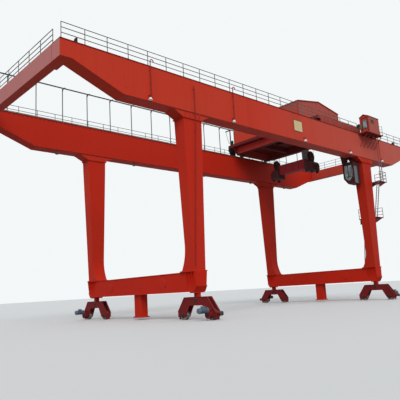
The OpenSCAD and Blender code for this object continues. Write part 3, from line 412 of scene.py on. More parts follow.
def chalked_ends(finish, tint):
    """Paint gone chalky on the outer faces of the end beams."""
    outward = finish.facing(0) * finish.along(0) > 10.0
    return finish.mix(outward * 0.85, tint, (0.50, 0.20, 0.19))


def painted_flange_shade_and_dust(finish, tint):
    """Painted shade on the flanges' edges, dust towards the near girder's right end, deeper red on the far
    one.
    """
    height = finish.along(2)
    edges = (height > GIRDER_TOP - FLANGE - 0.002) + (height < GIRDER_UNDER + FLANGE + 0.002)
    dusty = finish.mix(finish.spread(finish.along(0), -3.0, 13.0) * 0.75, tint, (0.46, 0.135, 0.105))
    deep = finish.mix(0.75, tint, (0.50, 0.016, 0.005))
    tint = chalked_ends(finish, finish.mix(finish.along(1) < 0.0, deep, dusty))
    # Painted shade: upright faces at flange height darkened to a near-black red.
    return finish.mix(edges * (abs(finish.facing(2)) < 0.5) * 0.85, tint, (0.10, 0.012, 0.010))


def painted_light_on_left_walls(finish, tint):
    """Painted light: brighter red at the foot of the walls that look towards the left end."""
    low = finish.spread(finish.along(2), HOUSE_LOW[2] + 1.0, HOUSE_LOW[2] + 0.5)
    # Painted light: the lower part of the left-facing walls lightened to a bright red.
    return finish.mix((finish.facing(0) < -0.9) * low * 0.9, tint, (0.60, 0.045, 0.022))


def maroon_edge_and_painted_shade_under(finish, tint):
    """Maroon on the deck's left edge, and painted shade on its underside."""
    dark = (finish.facing(0) < -0.9) + (finish.facing(2) < -0.5)
    # Painted shade on faces that look down; the left edge takes the same maroon.
    return finish.mix(dark * 0.9, tint, (0.11, 0.011, 0.014))


def dark_below_girder(finish, tint):
    """Grey-black on the cab's door, red on the one above the girders."""
    return finish.mix(finish.along(2) < GIRDER_UNDER, tint, (0.14, 0.16, 0.17))


def sill_red_and_painted_leg_shade(finish, tint):
    """Deeper red on the sills, and painted shade on the two right legs as a darker, duller red."""
    height = finish.along(2)
    tint = finish.mix((height < SILL_HIGH[2]) * 0.6, tint, (0.52, 0.012, 0.002))
    # Painted shade: the two right legs above the sills take a darker, duller red.
    right = (finish.along(0) > 0.0) * (height > SILL_HIGH[2])
    return finish.mix(right * 0.75, tint, (0.42, 0.018, 0.006))


def dark_on_girder(finish, tint):
    """The girder's own dusty red above its underside."""
    return finish.mix(finish.along(2) > GIRDER_UNDER, tint, (0.40, 0.060, 0.045))


def painted_shade_and_light_on_trolley(finish, tint):
    """Painted shade on faces that look down and all over the inside, painted light on the ends."""
    # Painted light: faces that look along the girders lightened to stand in for light lost under the deck.
    tint = finish.mix(abs(finish.facing(0)) > 0.9, tint, (0.85, 0.10, 0.08))
    inside = (abs(finish.along(1)) < RAILS_HIGH[1] - 0.17) * (finish.along(0) > FRAME_LOW[0] + 0.01)
    # Painted shade between the frame's inner parts.
    tint = finish.mix(inside * 0.85, tint, (0.125, 0.034, 0.034))
    # Painted shade on faces that look down.
    return finish.mix((finish.facing(2) < -0.5) * 0.9, tint, (0.135, 0.036, 0.036))


def painted_shade_under_deck(finish, tint):
    """Painted shade: nearly black on faces that look down."""
    return finish.mix((finish.facing(2) < -0.5) * 0.95, tint, (0.075, 0.025, 0.025))


def weathered_paint(name, colour, faded, grime, streak=0.3, roughness=0.58, dressing=None):
    """Brushed-on paint: faded in patches, streaked by rain, dusty on top, with small rust specks."""
    finish = Finish(name, {"Specular IOR Level": 0.12})
    patches = finish.ramp(finish.noise(0.32, 6.0), 0.35, 0.72)
    wide = finish.ramp(finish.noise(0.55, 8.0, (1.6, 1.6, 0.10), 0.7), 0.50, 0.80)
    narrow = finish.ramp(finish.noise(3.1, 4.0, (2.0, 2.0, 0.07)), 0.56, 0.80)
    rain = finish.spread(wide + narrow * 0.6, 0.0, 1.2)
    specks = finish.ramp(finish.noise(9.0, 6.0), 0.70, 0.76)
    upward = finish.ramp(finish.facing(2), 0.55, 0.95)
    tint = finish.mix(patches * 0.5, colour, faded)
    tint = finish.mix(rain * streak, tint, grime)
    if dressing:
        tint = dressing(finish, tint)
    tint = finish.mix(upward * 0.35, tint, (0.30, 0.20, 0.15))
    tint = finish.mix(specks * 0.65, tint, (0.075, 0.028, 0.014))
    finish.set("Base Color", tint)
    finish.set("Roughness", roughness + rain * 0.12 + specks * 0.25 + patches * 0.07)
    finish.bump(finish.noise(60.0, 3.0) * 0.35 + finish.noise(3.0, 2.0), 0.22, 0.006)
    return finish.material


def plain_metal(name, colour, dull, scale=14.0, roughness=0.45, metallic=0.9, stretch=(1.0, 1.0, 1.0)):
    """Metal with cloudy dull patches and a fine grain."""
    finish = Finish(name, {"Metallic": metallic})
    cloud = finish.ramp(finish.noise(scale, 5.0, stretch), 0.35, 0.7)
    finish.set("Base Color", finish.mix(cloud, colour, dull))
    finish.set("Roughness", roughness + cloud * 0.25)
    finish.bump(finish.noise(scale * 8, 3.0, stretch), 0.2, 0.002)
    return finish.material


def cable_track_paint():
    """Dark overhead track on grey posts."""
    finish = Finish("cable_track_paint", {"Specular IOR Level": 0.2})
    track = finish.along(2) > float(corners("cable_track")[1][2]) - 0.12
    wear = finish.ramp(finish.noise(4.0, 5.0), 0.4, 0.7)
    posts = finish.mix(wear, (0.13, 0.14, 0.15), (0.20, 0.20, 0.20))
    finish.set("Base Color", finish.mix(track, posts, (0.045, 0.048, 0.050)))
    finish.set("Roughness", wear * 0.2 + 0.5)
    finish.bump(finish.noise(50.0, 3.0), 0.2, 0.002)
    return finish.material


def lamp_paint():
    """White bells on the near girder and dark ones on the far girder, on dark red pipes."""
    finish = Finish("lamp_enamel", {"Specular IOR Level": 0.3})
    near = finish.along(1) < 0.0
    bell = near * (finish.along(2) < GIRDER_UNDER + BELL_TOP)
    dust = finish.ramp(finish.noise(14.0, 5.0), 0.4, 0.75)
    other = finish.mix(near, (0.060, 0.050, 0.048), (0.27, 0.024, 0.016))
    white = finish.mix(dust * 0.3, (0.86, 0.80, 0.76), (0.5, 0.42, 0.36))
    finish.set("Base Color", finish.mix(bell, other, white))
    finish.set("Roughness", dust * 0.2 + 0.4)
    finish.bump(finish.noise(70.0, 3.0), 0.15, 0.001)
    return finish.material


def glass_with_painted_reflection():
    """Window glass that shows little of what is behind it, with pale patches of painted reflection."""
    finish = Finish("glass_with_painted_reflection", {"Coat Weight": 0.6, "Coat Roughness": 0.04})
    film = finish.ramp(finish.noise(4.0, 4.0), 0.42, 0.62)
    # Painted reflection: pale grey patches over the dark glass.
    finish.set("Base Color", finish.mix(film, (0.07, 0.09, 0.10), (0.34, 0.38, 0.39)))
    finish.set("Roughness", film * 0.25 + 0.06)
    return finish.material


GIRDER_RED = weathered_paint("weathered_girder_paint", (0.58, 0.037, 0.015), (0.54, 0.055, 0.027),
                             (0.30, 0.022, 0.012), dressing=painted_flange_shade_and_dust)
END_RED = weathered_paint("chalky_end_paint", (0.54, 0.045, 0.024), (0.50, 0.080, 0.060),
                          (0.26, 0.030, 0.020), dressing=chalked_ends)
TROLLEY_RED = weathered_paint("trolley_paint_painted_light_and_shade", (0.42, 0.048, 0.034), (0.38, 0.060, 0.044),
                              (0.16, 0.016, 0.013), 0.45, dressing=painted_shade_and_light_on_trolley)
TROLLEY_DECK_RED = weathered_paint("trolley_deck_paint", (0.42, 0.048, 0.034), (0.38, 0.060, 0.044),
                                   (0.16, 0.016, 0.013), 0.45, dressing=maroon_edge_and_painted_shade_under)
DECK_RED = weathered_paint("platform_paint", (0.40, 0.030, 0.020), (0.36, 0.050, 0.036),
                           (0.14, 0.016, 0.013), dressing=painted_shade_under_deck)
RED = weathered_paint("weathered_red_paint", (0.54, 0.030, 0.012), (0.50, 0.048, 0.024),
                      (0.26, 0.020, 0.012))
LEG_RED = weathered_paint("bright_red_paint", (0.55, 0.021, 0.007), (0.51, 0.034, 0.014),
                          (0.28, 0.016, 0.009), dressing=sill_red_and_painted_leg_shade)
BOGIE_RED = weathered_paint("grimy_bogie_paint", (0.20, 0.011, 0.012), (0.16, 0.018, 0.018),
                            (0.045, 0.010, 0.010), 0.6)
MAROON = weathered_paint("maroon_paint", (0.13, 0.010, 0.014), (0.16, 0.020, 0.022), (0.04, 0.008, 0.008))
CAB_PAINT = weathered_paint("dark_cab_paint", (0.050, 0.010, 0.011), (0.075, 0.018, 0.018),
                            (0.02, 0.006, 0.006))
PIPE_RED = weathered_paint("dark_pipe_paint", (0.27, 0.024, 0.016), (0.29, 0.036, 0.026),
                           (0.10, 0.012, 0.010))
HOUSE_RED = weathered_paint("sheet_red_paint", (0.41, 0.080, 0.060), (0.39, 0.125, 0.098),
                            (0.22, 0.062, 0.048), 0.5, dressing=painted_light_on_left_walls)
DOOR_RED = weathered_paint("door_leaf_paint", (0.50, 0.045, 0.026), (0.45, 0.080, 0.060),
                           (0.20, 0.030, 0.024), dressing=dark_below_girder)
SPREADER_RED = weathered_paint("crimson_beam_paint", (0.31, 0.022, 0.030), (0.33, 0.034, 0.040),
                               (0.10, 0.012, 0.012))
DARK = weathered_paint("charcoal_paint", (0.028, 0.026, 0.028), (0.050, 0.045, 0.045), (0.02, 0.016, 0.014))
HEAD_PAINT = weathered_paint("oily_head_paint", (0.058, 0.014, 0.016), (0.085, 0.025, 0.026),
                             (0.02, 0.008, 0.008))
CREAM = weathered_paint("cream_enamel", (0.70, 0.56, 0.29), (0.74, 0.63, 0.40),
                        (0.34, 0.24, 0.13), 0.3, 0.5)
OLIVE = weathered_paint("olive_enamel", (0.14, 0.13, 0.065), (0.19, 0.18, 0.11),
                        (0.07, 0.06, 0.04), 0.4, 0.5)
HUT_GREY = weathered_paint("dusty_louvre_paint", (0.24, 0.13, 0.10), (0.27, 0.17, 0.13),
                           (0.12, 0.07, 0.06), 0.4)
HANDRAIL = weathered_paint("faded_rail_paint", (0.135, 0.125, 0.115), (0.18, 0.17, 0.16),
                           (0.09, 0.075, 0.07), 0.4, 0.6)
PINK_RAIL = weathered_paint("faded_ladder_paint", (0.23, 0.17, 0.18), (0.30, 0.25, 0.25),
                            (0.12, 0.07, 0.07), 0.4, 0.6, dressing=dark_on_girder)
MOTOR_GREY = weathered_paint("motor_blue_grey", (0.11, 0.16, 0.21), (0.17, 0.21, 0.25),
                             (0.05, 0.05, 0.05), 0.5, 0.5)
ZINC = plain_metal("dull_zinc", (0.30, 0.31, 0.33), (0.20, 0.21, 0.22), 22.0, 0.5, 0.55)
RAIL = plain_metal("rolled_rail_steel", (0.36, 0.33, 0.30), (0.16, 0.10, 0.07), 6.0, 0.35, 0.85,
                   (0.2, 3.0, 3.0))
STEEL = plain_metal("wheel_steel", (0.30, 0.29, 0.28), (0.11, 0.075, 0.055), 9.0, 0.38, 0.85)
ROPE = plain_metal("greased_rope", (0.075, 0.070, 0.065), (0.03, 0.027, 0.025), 40.0, 0.4, 0.6)
RUBBER = plain_metal("black_rubber", (0.022, 0.022, 0.023), (0.045, 0.043, 0.040), 20.0, 0.65, 0.0)
PALE_CABLE = plain_metal("pale_cable_sheath", (0.42, 0.42, 0.40), (0.25, 0.25, 0.24), 30.0, 0.55, 0.0)
GLASS = glass_with_painted_reflection()
TRACK = cable_track_paint()
LAMP = lamp_paint()

NODE_FINISHES = {
    GIRDER_RED: ["near_girder", "far_girder"],
    END_RED: ["end_beams"],
    DECK_RED: ["electric_house_platform"],
    TROLLEY_RED: ["trolley_frame"],
    TROLLEY_DECK_RED: ["trolley_deck"],
    RED: ["leg_haunches"],
    LEG_RED: ["legs", "leg_flanges", "sills", "anchor_posts", "pivot_brackets"],
    HOUSE_RED: ["house_walls", "house_roof", "electric_house"],
    MAROON: ["landings"],
    DOOR_RED: ["door_panels"],
    SPREADER_RED: ["spreader_beam"],
    CAB_PAINT: ["cab_body", "cab_hanger"],
    PIPE_RED: ["conduits"],
    DARK: ["rail_stops", "tow_arm"],
    HEAD_PAINT: ["spreader_head"],
    HANDRAIL: ["handrails"],
    TRACK: ["cable_track"],
    PINK_RAIL: ["ladders"],
    RAIL: ["trolley_rails"],
    STEEL: ["trolley_wheels", "hoist_drum"] + ["wheel_" + corner + end for corner in CORNERS
                                               for end in ("_outer", "_inner")],
    LAMP: ["floodlights"],
    RUBBER: ["cable_loops"],
    ROPE: ["hoist_ropes"],
    GLASS: ["cab_windows", "house_windows"],
    BOGIE_RED: ["bogie_" + corner for corner in CORNERS],
}
for material, names in NODE_FINISHES.items():
    for name in names:
        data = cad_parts[name].data
        data.materials.clear()
        data.materials.append(material)


def girder_welds():
    """Fillet welds along each web and flange, and butt welds across the webs: half circles along lines."""
    mesh = Mesh()
    half = GIRDER_HIGH[0] - LIP
    flat_end = GIRDER_HIGH[0] - END_FLAT
    taper = flat_end - TAPER
    top, under, shallow = GIRDER_TOP - FLANGE, GIRDER_UNDER + FLANGE, END_UNDER + FLANGE
    fillet, ripple, plate_length = 0.007, 0.12, 3.2
    for face, side in zip(FACES_Y, (-1, 1, -1, 1)):
        down, up = (0, side * 0.7, -0.7), (0, side * 0.7, 0.7)
        mesh.bead((-half, face, top), (half, face, top), fillet, down, ripple)
        mesh.bead((-taper, face, under), (taper, face, under), fillet, up, ripple)
        for end in (-1, 1):
            mesh.bead((end * taper, face, under), (end * flat_end, face, shallow), fillet, up, ripple)
        for x in steps(-taper, taper, plate_length):
            mesh.bead((x, face, under), (x, face, top), fillet / 2, (0, side, 0), ripple / 2)
    mesh.piece("girder_welds", "gantry", GIRDER_RED, "red_paint", smooth=True)


def rail_fixings():
    """Clips with bolts on both sides of the trolley rails, and small gussets under them."""
    clips, bolts, gussets = Mesh(), Mesh(), Mesh()
    start, end = RAILS_LOW[0] + 0.1, RAILS_HIGH[0] - 0.1
    x = steps(start, end, 0.45)
    thick = 0.024
    level = GIRDER_TOP + thick
    for y in (RAILS_LOW[1] + RAIL_FOOT, RAILS_HIGH[1] - RAIL_FOOT):
        for side in (-1, 1):
            edge = y + side * RAIL_FOOT
            clips.span((x - 0.03, x + 0.03), (edge - side * 0.018, edge + side * 0.032), (GIRDER_TOP, level))
            bolts.bolts(at(x, edge + side * 0.012, level), 3, 0.009, 0.014)
    top = GIRDER_TOP - FLANGE
    for face, out in ((FACES_Y[1], LIP), (FACES_Y[2], -LIP)):
        outline = [(face, top), (face + out, top), (face + out, top - 0.03), (face, top - 0.10)]
        gussets.plates(outline, 0, steps(start, end, 0.2), thick)
    clips.piece("rail_clips", "gantry", RAIL, "rail_steel")
    bolts.piece("rail_clip_bolts", "gantry", STEEL, "bare_steel")
    gussets.piece("rail_gussets", "gantry", PIPE_RED, "red_paint")


def railing_feet():
    """Foot plates of the handrail posts, each with two bolts."""
    plates, bolts = Mesh(), Mesh()
    low, high = corners("handrails")
    half, post_pitch, gap, thick = BAR / 2, 0.87, 0.04, 0.006
    runs = [(low[0], DECK_LOW[0] - gap, low[1]), (DECK_HIGH[0] + gap, high[0], low[1]),
            (low[0], high[0], high[1])]
    places = [at(steps(start + half, end - half, post_pitch), edge - math.copysign(half, edge), GIRDER_TOP)
              for start, end, edge in runs]
    inner = FACES_Y[1] + LIP
    y = steps(inner + half, -inner - half, post_pitch)
    places += [at(edge, y, GIRDER_TOP) for edge in (low[0] + half, high[0] - half)]
    centre = np.concatenate(places)
    plates.blocks(centre - (0.035, 0.018, 0), centre + (0.035, 0.018, thick))
    for side in (-1, 1):
        bolts.bolts(centre + (side * 0.025, 0, thick), 3, 0.005, 0.008)
    plates.piece("railing_feet", "gantry", HANDRAIL, "galvanised")
    bolts.piece("railing_foot_bolts", "gantry", ZINC, "galvanised")


def leg_joints():
    """Bolt rows of the leg flanges and fillet welds round the heads and feet of the legs."""
    bolts, welds = Mesh(), Mesh()
    thick, ripple, beyond = 0.036, 0.05, 0.018
    head, foot = FLANGES_HIGH[2], FLANGES_LOW[2] + thick
    neck = head - thick
    for x in LEG_X:
        for y, inward in zip(LEG_Y, (1, -1)):
            ring = around(x, y, LEG_HEAD[0] + beyond, LEG_HEAD[1] + beyond, 0.094)
            bolts.bolts(at(*ring, head), 3, 0.008, 0.011)
            bolts.bolts(at(*ring, neck), -3, 0.008, 0.013)
            low, high = sorted((y - inward * LEG_FOOT[1], y + inward * (LEG_FOOT[1] + KNEE)))
            row = steps(low + 0.03, high - 0.03, 0.095)
            for side in (-1, 1):
                lean = side * 0.7
                bolts.bolts(at(x + side * (LEG_FOOT[0] + 0.04), row, foot), 3, 0.010, 0.014)
                edge = x + side * LEG_FOOT[0]
                welds.bead((edge, low, foot), (edge, high, foot), 0.008, (lean, 0, 0.7), ripple)
                edge = x + side * LEG_HEAD[0]
                ends = [(edge, y + end * LEG_HEAD[1], neck) for end in (-1, 1)]
                welds.bead(*ends, 0.007, (lean, 0, -0.7), ripple)
                edge = y + side * LEG_HEAD[1]
                ends = [(x + end * LEG_HEAD[0], edge, neck) for end in (-1, 1)]
                welds.bead(*ends, 0.007, (0, lean, -0.7), ripple)
    bolts.piece("leg_flange_bolts", "gantry", LEG_RED, "red_paint")
    welds.piece("leg_welds", "gantry", LEG_RED, "red_paint", smooth=True)


def sill_fittings():
    """Round manhole covers on the sills, welds along them, and foot bolts of the anchor posts."""
    covers, bolts, welds = Mesh(), Mesh(), Mesh()
    foot_plate = corners("anchor_posts")[0][2] + 0.04
    z = (SILL_LOW[2] + SILL_HIGH[2]) / 2
    reach = SILL_HIGH[1] - 0.16
    manhole_y = 1.9
    cover = [(0.001, 0.0), (0.17, 0.0), (0.17, 0.012), (0.15, 0.018), (0.001, 0.02)]
    for x in LEG_X:
        for side in (-1, 1):
            face = x + side * SILL_WEB
            for y in (-manhole_y, manhole_y):
                covers.turned(cover, (face, y, z), 0, 32, side)
                bolts.bolt_ring((face + side * 0.014, y, z), side, 0.159, 10, 0.006, 0.008)
            for height, lean in ((SILL_HIGH[2] - FLANGE, -0.7), (SILL_LOW[2] + FLANGE, 0.7)):
                welds.bead((face, -reach, height), (face, reach, height), 0.007, (side * 0.7, 0, lean), 0.1)
        bolts.bolts(at(*around(x, 0.0, 0.185, 0.265, 0.13), foot_plate), 3, 0.012, 0.016)
    covers.piece("sill_manhole_covers", "gantry", LEG_RED, "red_paint")
    bolts.piece("sill_bolts", "gantry", STEEL, "bare_steel")
    welds.piece("sill_welds", "gantry", LEG_RED, "red_paint", smooth=True)


def end_beam_joints():
    """Bolts up the inner edges of the end beams' flanged joints."""
    bolts = Mesh()
    flange = FACES_Y[2] - LIP - 0.45 - 0.018
    middle_z = (END_UNDER + GIRDER_TOP) / 2
    for end in (-1, 1):
        x, z = around(end * (GIRDER_HIGH[0] - END_FLAT / 2), middle_z, END_FLAT / 2 - 0.03, 0.27, 0.09)
        inner = np.abs(x) < GIRDER_HIGH[0] - 0.34
        for side in (-1, 1):
            bolts.bolts(at(x[inner], side * flange, z[inner]), -2 * side, 0.009, 0.013)
    bolts.piece("end_beam_bolts", "gantry", END_RED, "red_paint")


def bogie_fittings(corner):
    """Axle caps, gearbox bolts, finned motor, buffer face, rail guards and edge strips of one bogie."""
    caps, bolts, motor, rubber, strips = [Mesh() for _ in range(5)]
    x, drive_y, axle_z = [float(value) for value in BOGIES[corner]]
    y = LEG_Y[0] if drive_y < 0 else LEG_Y[1]
    out, away = [int(math.copysign(1, value)) for value in (drive_y, x)]
    cap = np.array([(0.001, 0.0), (0.072, 0.0), (0.072, 0.014), (0.05, 0.022), (0.001, 0.024)])
    for place_y, place_z in ((y - AXLE_Y, axle_z), (y + AXLE_Y, axle_z), (y, PIN_Z)):
        for side in (-1, 1):
            if side == away and place_y == drive_y:
                continue
            face = x + side * BOGIE_SIDE
            caps.turned(cap, (face, place_y, place_z), 0, 28, side)
            bolts.bolt_ring((face + side * 0.014, place_y, place_z), side, 0.060, 6, 0.005, 0.008)
    face = x + away * (BOGIE_SIDE + GEARBOX)
    bolts.bolt_ring((face, drive_y, axle_z), away, 0.122, 12, 0.007, 0.010, 0.26)
    caps.turned(cap * (0.8, 1), (face, drive_y, axle_z), 0, 28, away)
    motor_z = axle_z + 0.15
    shell, fin = 0.079, 0.098
    ribs = np.arange(14)[:, None] * 0.0205 + np.array([0.045, 0.045, 0.052, 0.052])
    radii = np.broadcast_to([shell, fin, fin, shell], ribs.shape)
    start = [(shell, 0.0), (0.104, 0.002), (0.104, 0.026), (shell, 0.034)]
    cowl = [(shell, 0.338), (0.099, 0.342), (0.099, 0.405), (0.085, 0.424), (0.03, 0.428), (0.001, 0.428)]
    outline = np.concatenate([start, at(radii, ribs, 0)[..., :2].reshape(-1, 2), cowl])
    motor.turned(outline, (face, drive_y, motor_z), 0, 32, away)
    lid = motor_z + 0.155
    motor.span((face + away * 0.13, face + away * 0.26), (drive_y - 0.055, drive_y + 0.055),
               (motor_z + 0.08, lid))
    bolts.bolt_ring((face + away * 0.195, drive_y, lid), 3, 0.065, 4, 0.004, 0.006, 0.785)
    end, buffer_z = y + out * 1.01, axle_z + 0.03
    guards = y + np.array((-1.0, 1.0))
    strips.span((x - 0.07, x + 0.07), (guards - 0.008, guards + 0.008), (0.025, 0.17))
    disc = [(0.001, 0.0), (0.078, 0.0), (0.084, 0.01), (0.078, 0.028), (0.001, 0.034)]
    rubber.turned(disc, (x, end + out * 0.18, buffer_z), 1, 32, out)
    bolts.bolt_ring((x, end, buffer_z), 2 * out, 0.078, 6, 0.007, 0.010)
    top = [(-1.016, 0.298), (-0.624, 0.826), (0.624, 0.826), (1.016, 0.298)]
    under = [(1.0, 0.292), (0.614, 0.812), (-0.614, 0.812), (-1.0, 0.292)]
    strips.plates(np.array(top + under) + (y, 0), 0, [x - 0.105, x + 0.105], 0.06)
    body = "bogie_" + corner
    caps.piece("axle_caps_" + corner, body, DARK, "dark_paint", bevel=0.002)
    bolts.piece("bogie_bolts_" + corner, body, STEEL, "bare_steel")
    motor.piece("travel_motor_" + corner, body, MOTOR_GREY, "dark_paint")
    rubber.piece("buffer_face_" + corner, body, RUBBER, "dark_paint", smooth=True)
    strips.piece("bogie_strips_" + corner, body, BOGIE_RED, "red_paint")


def corner_strips(mesh, low, high, foot, head, width, thick):
    """Two narrow plates on each upright corner of a housing, from its foot to its head."""
    for x, sx in ((low[0], -1), (high[0], 1)):
        for y, sy in ((low[1], -1), (high[1], 1)):
            mesh.span((x - sx * width, x + sx * thick), (y, y + sy * thick), (foot, head))
            mesh.span((x, x + sx * thick), (y - sy * width, y + sy * thick), (foot, head))


def house_seams():
    """Upright ribs on the machinery house: on a gable they shorten away from the ridge."""
    ribs = Mesh()
    floor, eave = HOUSE_LOW[2] + 0.03, HOUSE_HIGH[2] - ROOF_RISE
    half_rib, proud, pitch = 0.012, 0.009, 0.27
    half = (HOUSE_HIGH[0] - HOUSE_LOW[0]) / 2 - WALL
    x = steps(HOUSE_LOW[0] + 0.1, HOUSE_HIGH[0] - 0.1, pitch)
    top = eave + ROOF_RISE * np.clip(1 - np.abs(x - HOUSE_X) / half, 0, 1) - 0.01
    cut = np.min(np.abs(x[:, None] - FAR_WINDOWS), axis=1) < HALF_WINDOW + 0.04
    below, above = (x[cut], floor, floor + 0.55), (x[cut], floor + 0.86, top[cut])
    for face, out, rows in ((HOUSE_LOW[1], -proud, [(x, floor, top)]),
                            (HOUSE_HIGH[1], proud, [(x[~cut], floor, top[~cut]), below, above])):
        for places, low, high in rows:
            ribs.span((places - half_rib, places + half_rib), (face, face + out), (low, high))
    y = steps(HOUSE_LOW[1] + 0.1, HOUSE_HIGH[1] - 0.1, pitch)
    for face, out, openings, reach in ((HOUSE_LOW[0], -proud, LEFT_WINDOWS, HALF_WINDOW + 0.04),
                                       (HOUSE_HIGH[0], proud, [HOUSE_DOOR], 0.25)):
        kept = y[np.min(np.abs(y[:, None] - openings), axis=1) > reach]
        ribs.span((face, face + out), (kept - half_rib, kept + half_rib), (floor, eave - 0.03))
    ribs.piece("house_sheet_ribs", "trolley", HOUSE_RED, "red_paint")


def house_trim():
    """Window and door frames, corner strips, verge boards and roof seams of the machinery house."""
    frames, strips, roof = Mesh(), Mesh(), Mesh()
    floor, eave = HOUSE_LOW[2], HOUSE_HIGH[2] - ROOF_RISE
    sill, head = floor + 0.62, floor + 0.85
    for axis, face, out, windows in ((1, HOUSE_HIGH[1], 1, FAR_WINDOWS),
                                     (0, HOUSE_LOW[0], -1, LEFT_WINDOWS)):
        for place in windows:
            low, high = (place - HALF_WINDOW, sill), (place + HALF_WINDOW, head)
            frames.frame(axis, face, out * 0.018, low, high, 0.03)
            bar = [(place - 0.008, place + 0.008), (sill, head)]
            bar.insert(axis, (face - out * 0.02, face + out * 0.006))
            frames.span(*bar)
    low, high = (HOUSE_DOOR - 0.2, floor + 0.04), (HOUSE_DOOR + 0.2, floor + 0.95)
    frames.frame(0, HOUSE_HIGH[0], 0.016, low, high, 0.035)
    knob = [(0.001, 0.0), (0.012, 0.0), (0.012, 0.03), (0.02, 0.034), (0.001, 0.05)]
    frames.turned(knob, (HOUSE_HIGH[0] - 0.02, HOUSE_DOOR + 0.15, floor + 0.5), 0, 12)
    corner_strips(strips, HOUSE_LOW, HOUSE_HIGH, floor, eave - 0.02, 0.05, 0.012)
    edge, ridge = ROOF_LOW[2] + ROOF_SHEET, ROOF_HIGH[2]
    over = [(ROOF_LOW[0], edge), (HOUSE_X, ridge), (ROOF_HIGH[0], edge)]
    roof.plates(band(over, 0.0, 0.022), 1, steps(ROOF_LOW[1] + 0.12, ROOF_HIGH[1] - 0.12, 0.36), 0.014)
    roof.tube(at(HOUSE_X, steps(ROOF_LOW[1], ROOF_HIGH[1], 0.4), ridge - 0.004), 0.028, 10)
    strips.plates(band(over, 0.03, 0.008), 1, [ROOF_LOW[1] - 0.006, ROOF_HIGH[1] + 0.006], 0.012)
    frames.piece("house_window_frames", "trolley", DARK, "red_paint")
    strips.piece("house_corner_strips", "trolley", HOUSE_RED, "red_paint")
    roof.piece("house_roof_seams", "trolley", HOUSE_RED, "red_paint")


def trolley_fittings():
    """Axle covers, end pads, bolts, welds, round drive gear case and skirt plate of the trolley frame."""
    covers, bolts, pads, welds, case, skirt = [Mesh() for _ in range(6)]
    wheel_low, wheel_high = corners("trolley_wheels")
    axle_z = (wheel_low[2] + wheel_high[2]) / 2
    rail_y = RAILS_HIGH[1] - RAIL_FOOT
    wheel_radius, half_beam = 0.13, 0.12
    top = FRAME_HIGH[2] - 0.012
    cover = [(0.001, 0.0), (0.085, 0.0), (0.085, 0.018), (0.06, 0.028), (0.001, 0.03)]
    for y in (-rail_y, rail_y):
        for side in (-1, 1):
            face = y + side * half_beam
            for x in (wheel_low[0] + wheel_radius, wheel_high[0] - wheel_radius):
                covers.turned(cover, (x, face, axle_z), 1, 28, side)
                bolts.bolt_ring((x, face + side * 0.018, axle_z), 2 * side, 0.072, 8, 0.006, 0.009)
            start, end = (FRAME_LOW[0] + 0.02, face, top), (FRAME_HIGH[0] - 0.02, face, top)
            welds.bead(start, end, 0.007, (0, side * 0.7, -0.7), 0.06)
        for end, out in ((FRAME_LOW[0], -0.012), (FRAME_HIGH[0], 0.012)):
            pads.span((end, end + out), (y - 0.07, y + 0.07), (FRAME_HIGH[2] - 0.2, FRAME_HIGH[2] - 0.06))
    outline = [(0.001, 0.0), (0.25, 0.0), (0.25, 0.035), (0.235, 0.045), (0.235, 0.095), (0.22, 0.115),
               (0.09, 0.12), (0.09, 0.14), (0.001, 0.14)]
    x, face, z = FRAME_LOW[0] - 0.2, rail_y + half_beam, FRAME_HIGH[2] - 0.25
    case.turned(outline, (x, face, z), 1, 40)
    bolts.bolt_ring((x, face + 0.035, z), 2, 0.243, 16, 0.005, 0.008)
    skirt.span((HOUSE_LOW[0] + 0.01, FRAME_LOW[0] + 0.19), (-rail_y - 0.128, -rail_y - half_beam),
               (FRAME_LOW[2] + 0.05, HOUSE_LOW[2] - 0.01))
    case.piece("trolley_gear_case", "trolley", DARK, "dark_paint", bevel=0.002)
    skirt.piece("deck_skirt_plate", "trolley", TROLLEY_RED, "red_paint")
    covers.piece("trolley_axle_covers", "trolley", DARK, "bare_steel", bevel=0.002)
    bolts.piece("trolley_bolts", "trolley", STEEL, "bare_steel")
    pads.piece("trolley_end_pads", "trolley", RUBBER, "dark_paint")
    welds.piece("trolley_welds", "trolley", TROLLEY_RED, "red_paint", smooth=True)


def hoist_rope(x, y, top, bottom):
    """Stranded rope: the radius swells with the cosine of six times a turn that winds downwards."""
    rings, sides, strands, waves_per_metre = 160, 18, 6, 7.5
    length = top - bottom
    share = np.linspace(0, 1, rings)[:, None]
    turn = np.linspace(0, 2 * math.pi, sides, endpoint=False)[None]
    wind = share * length * 2 * math.pi * waves_per_metre
    reach = ROPE_RADIUS * (0.93 + 0.11 * np.cos(strands * turn + wind))
    return at(x + reach * np.cos(turn), y + reach * np.sin(turn), top - share * length)


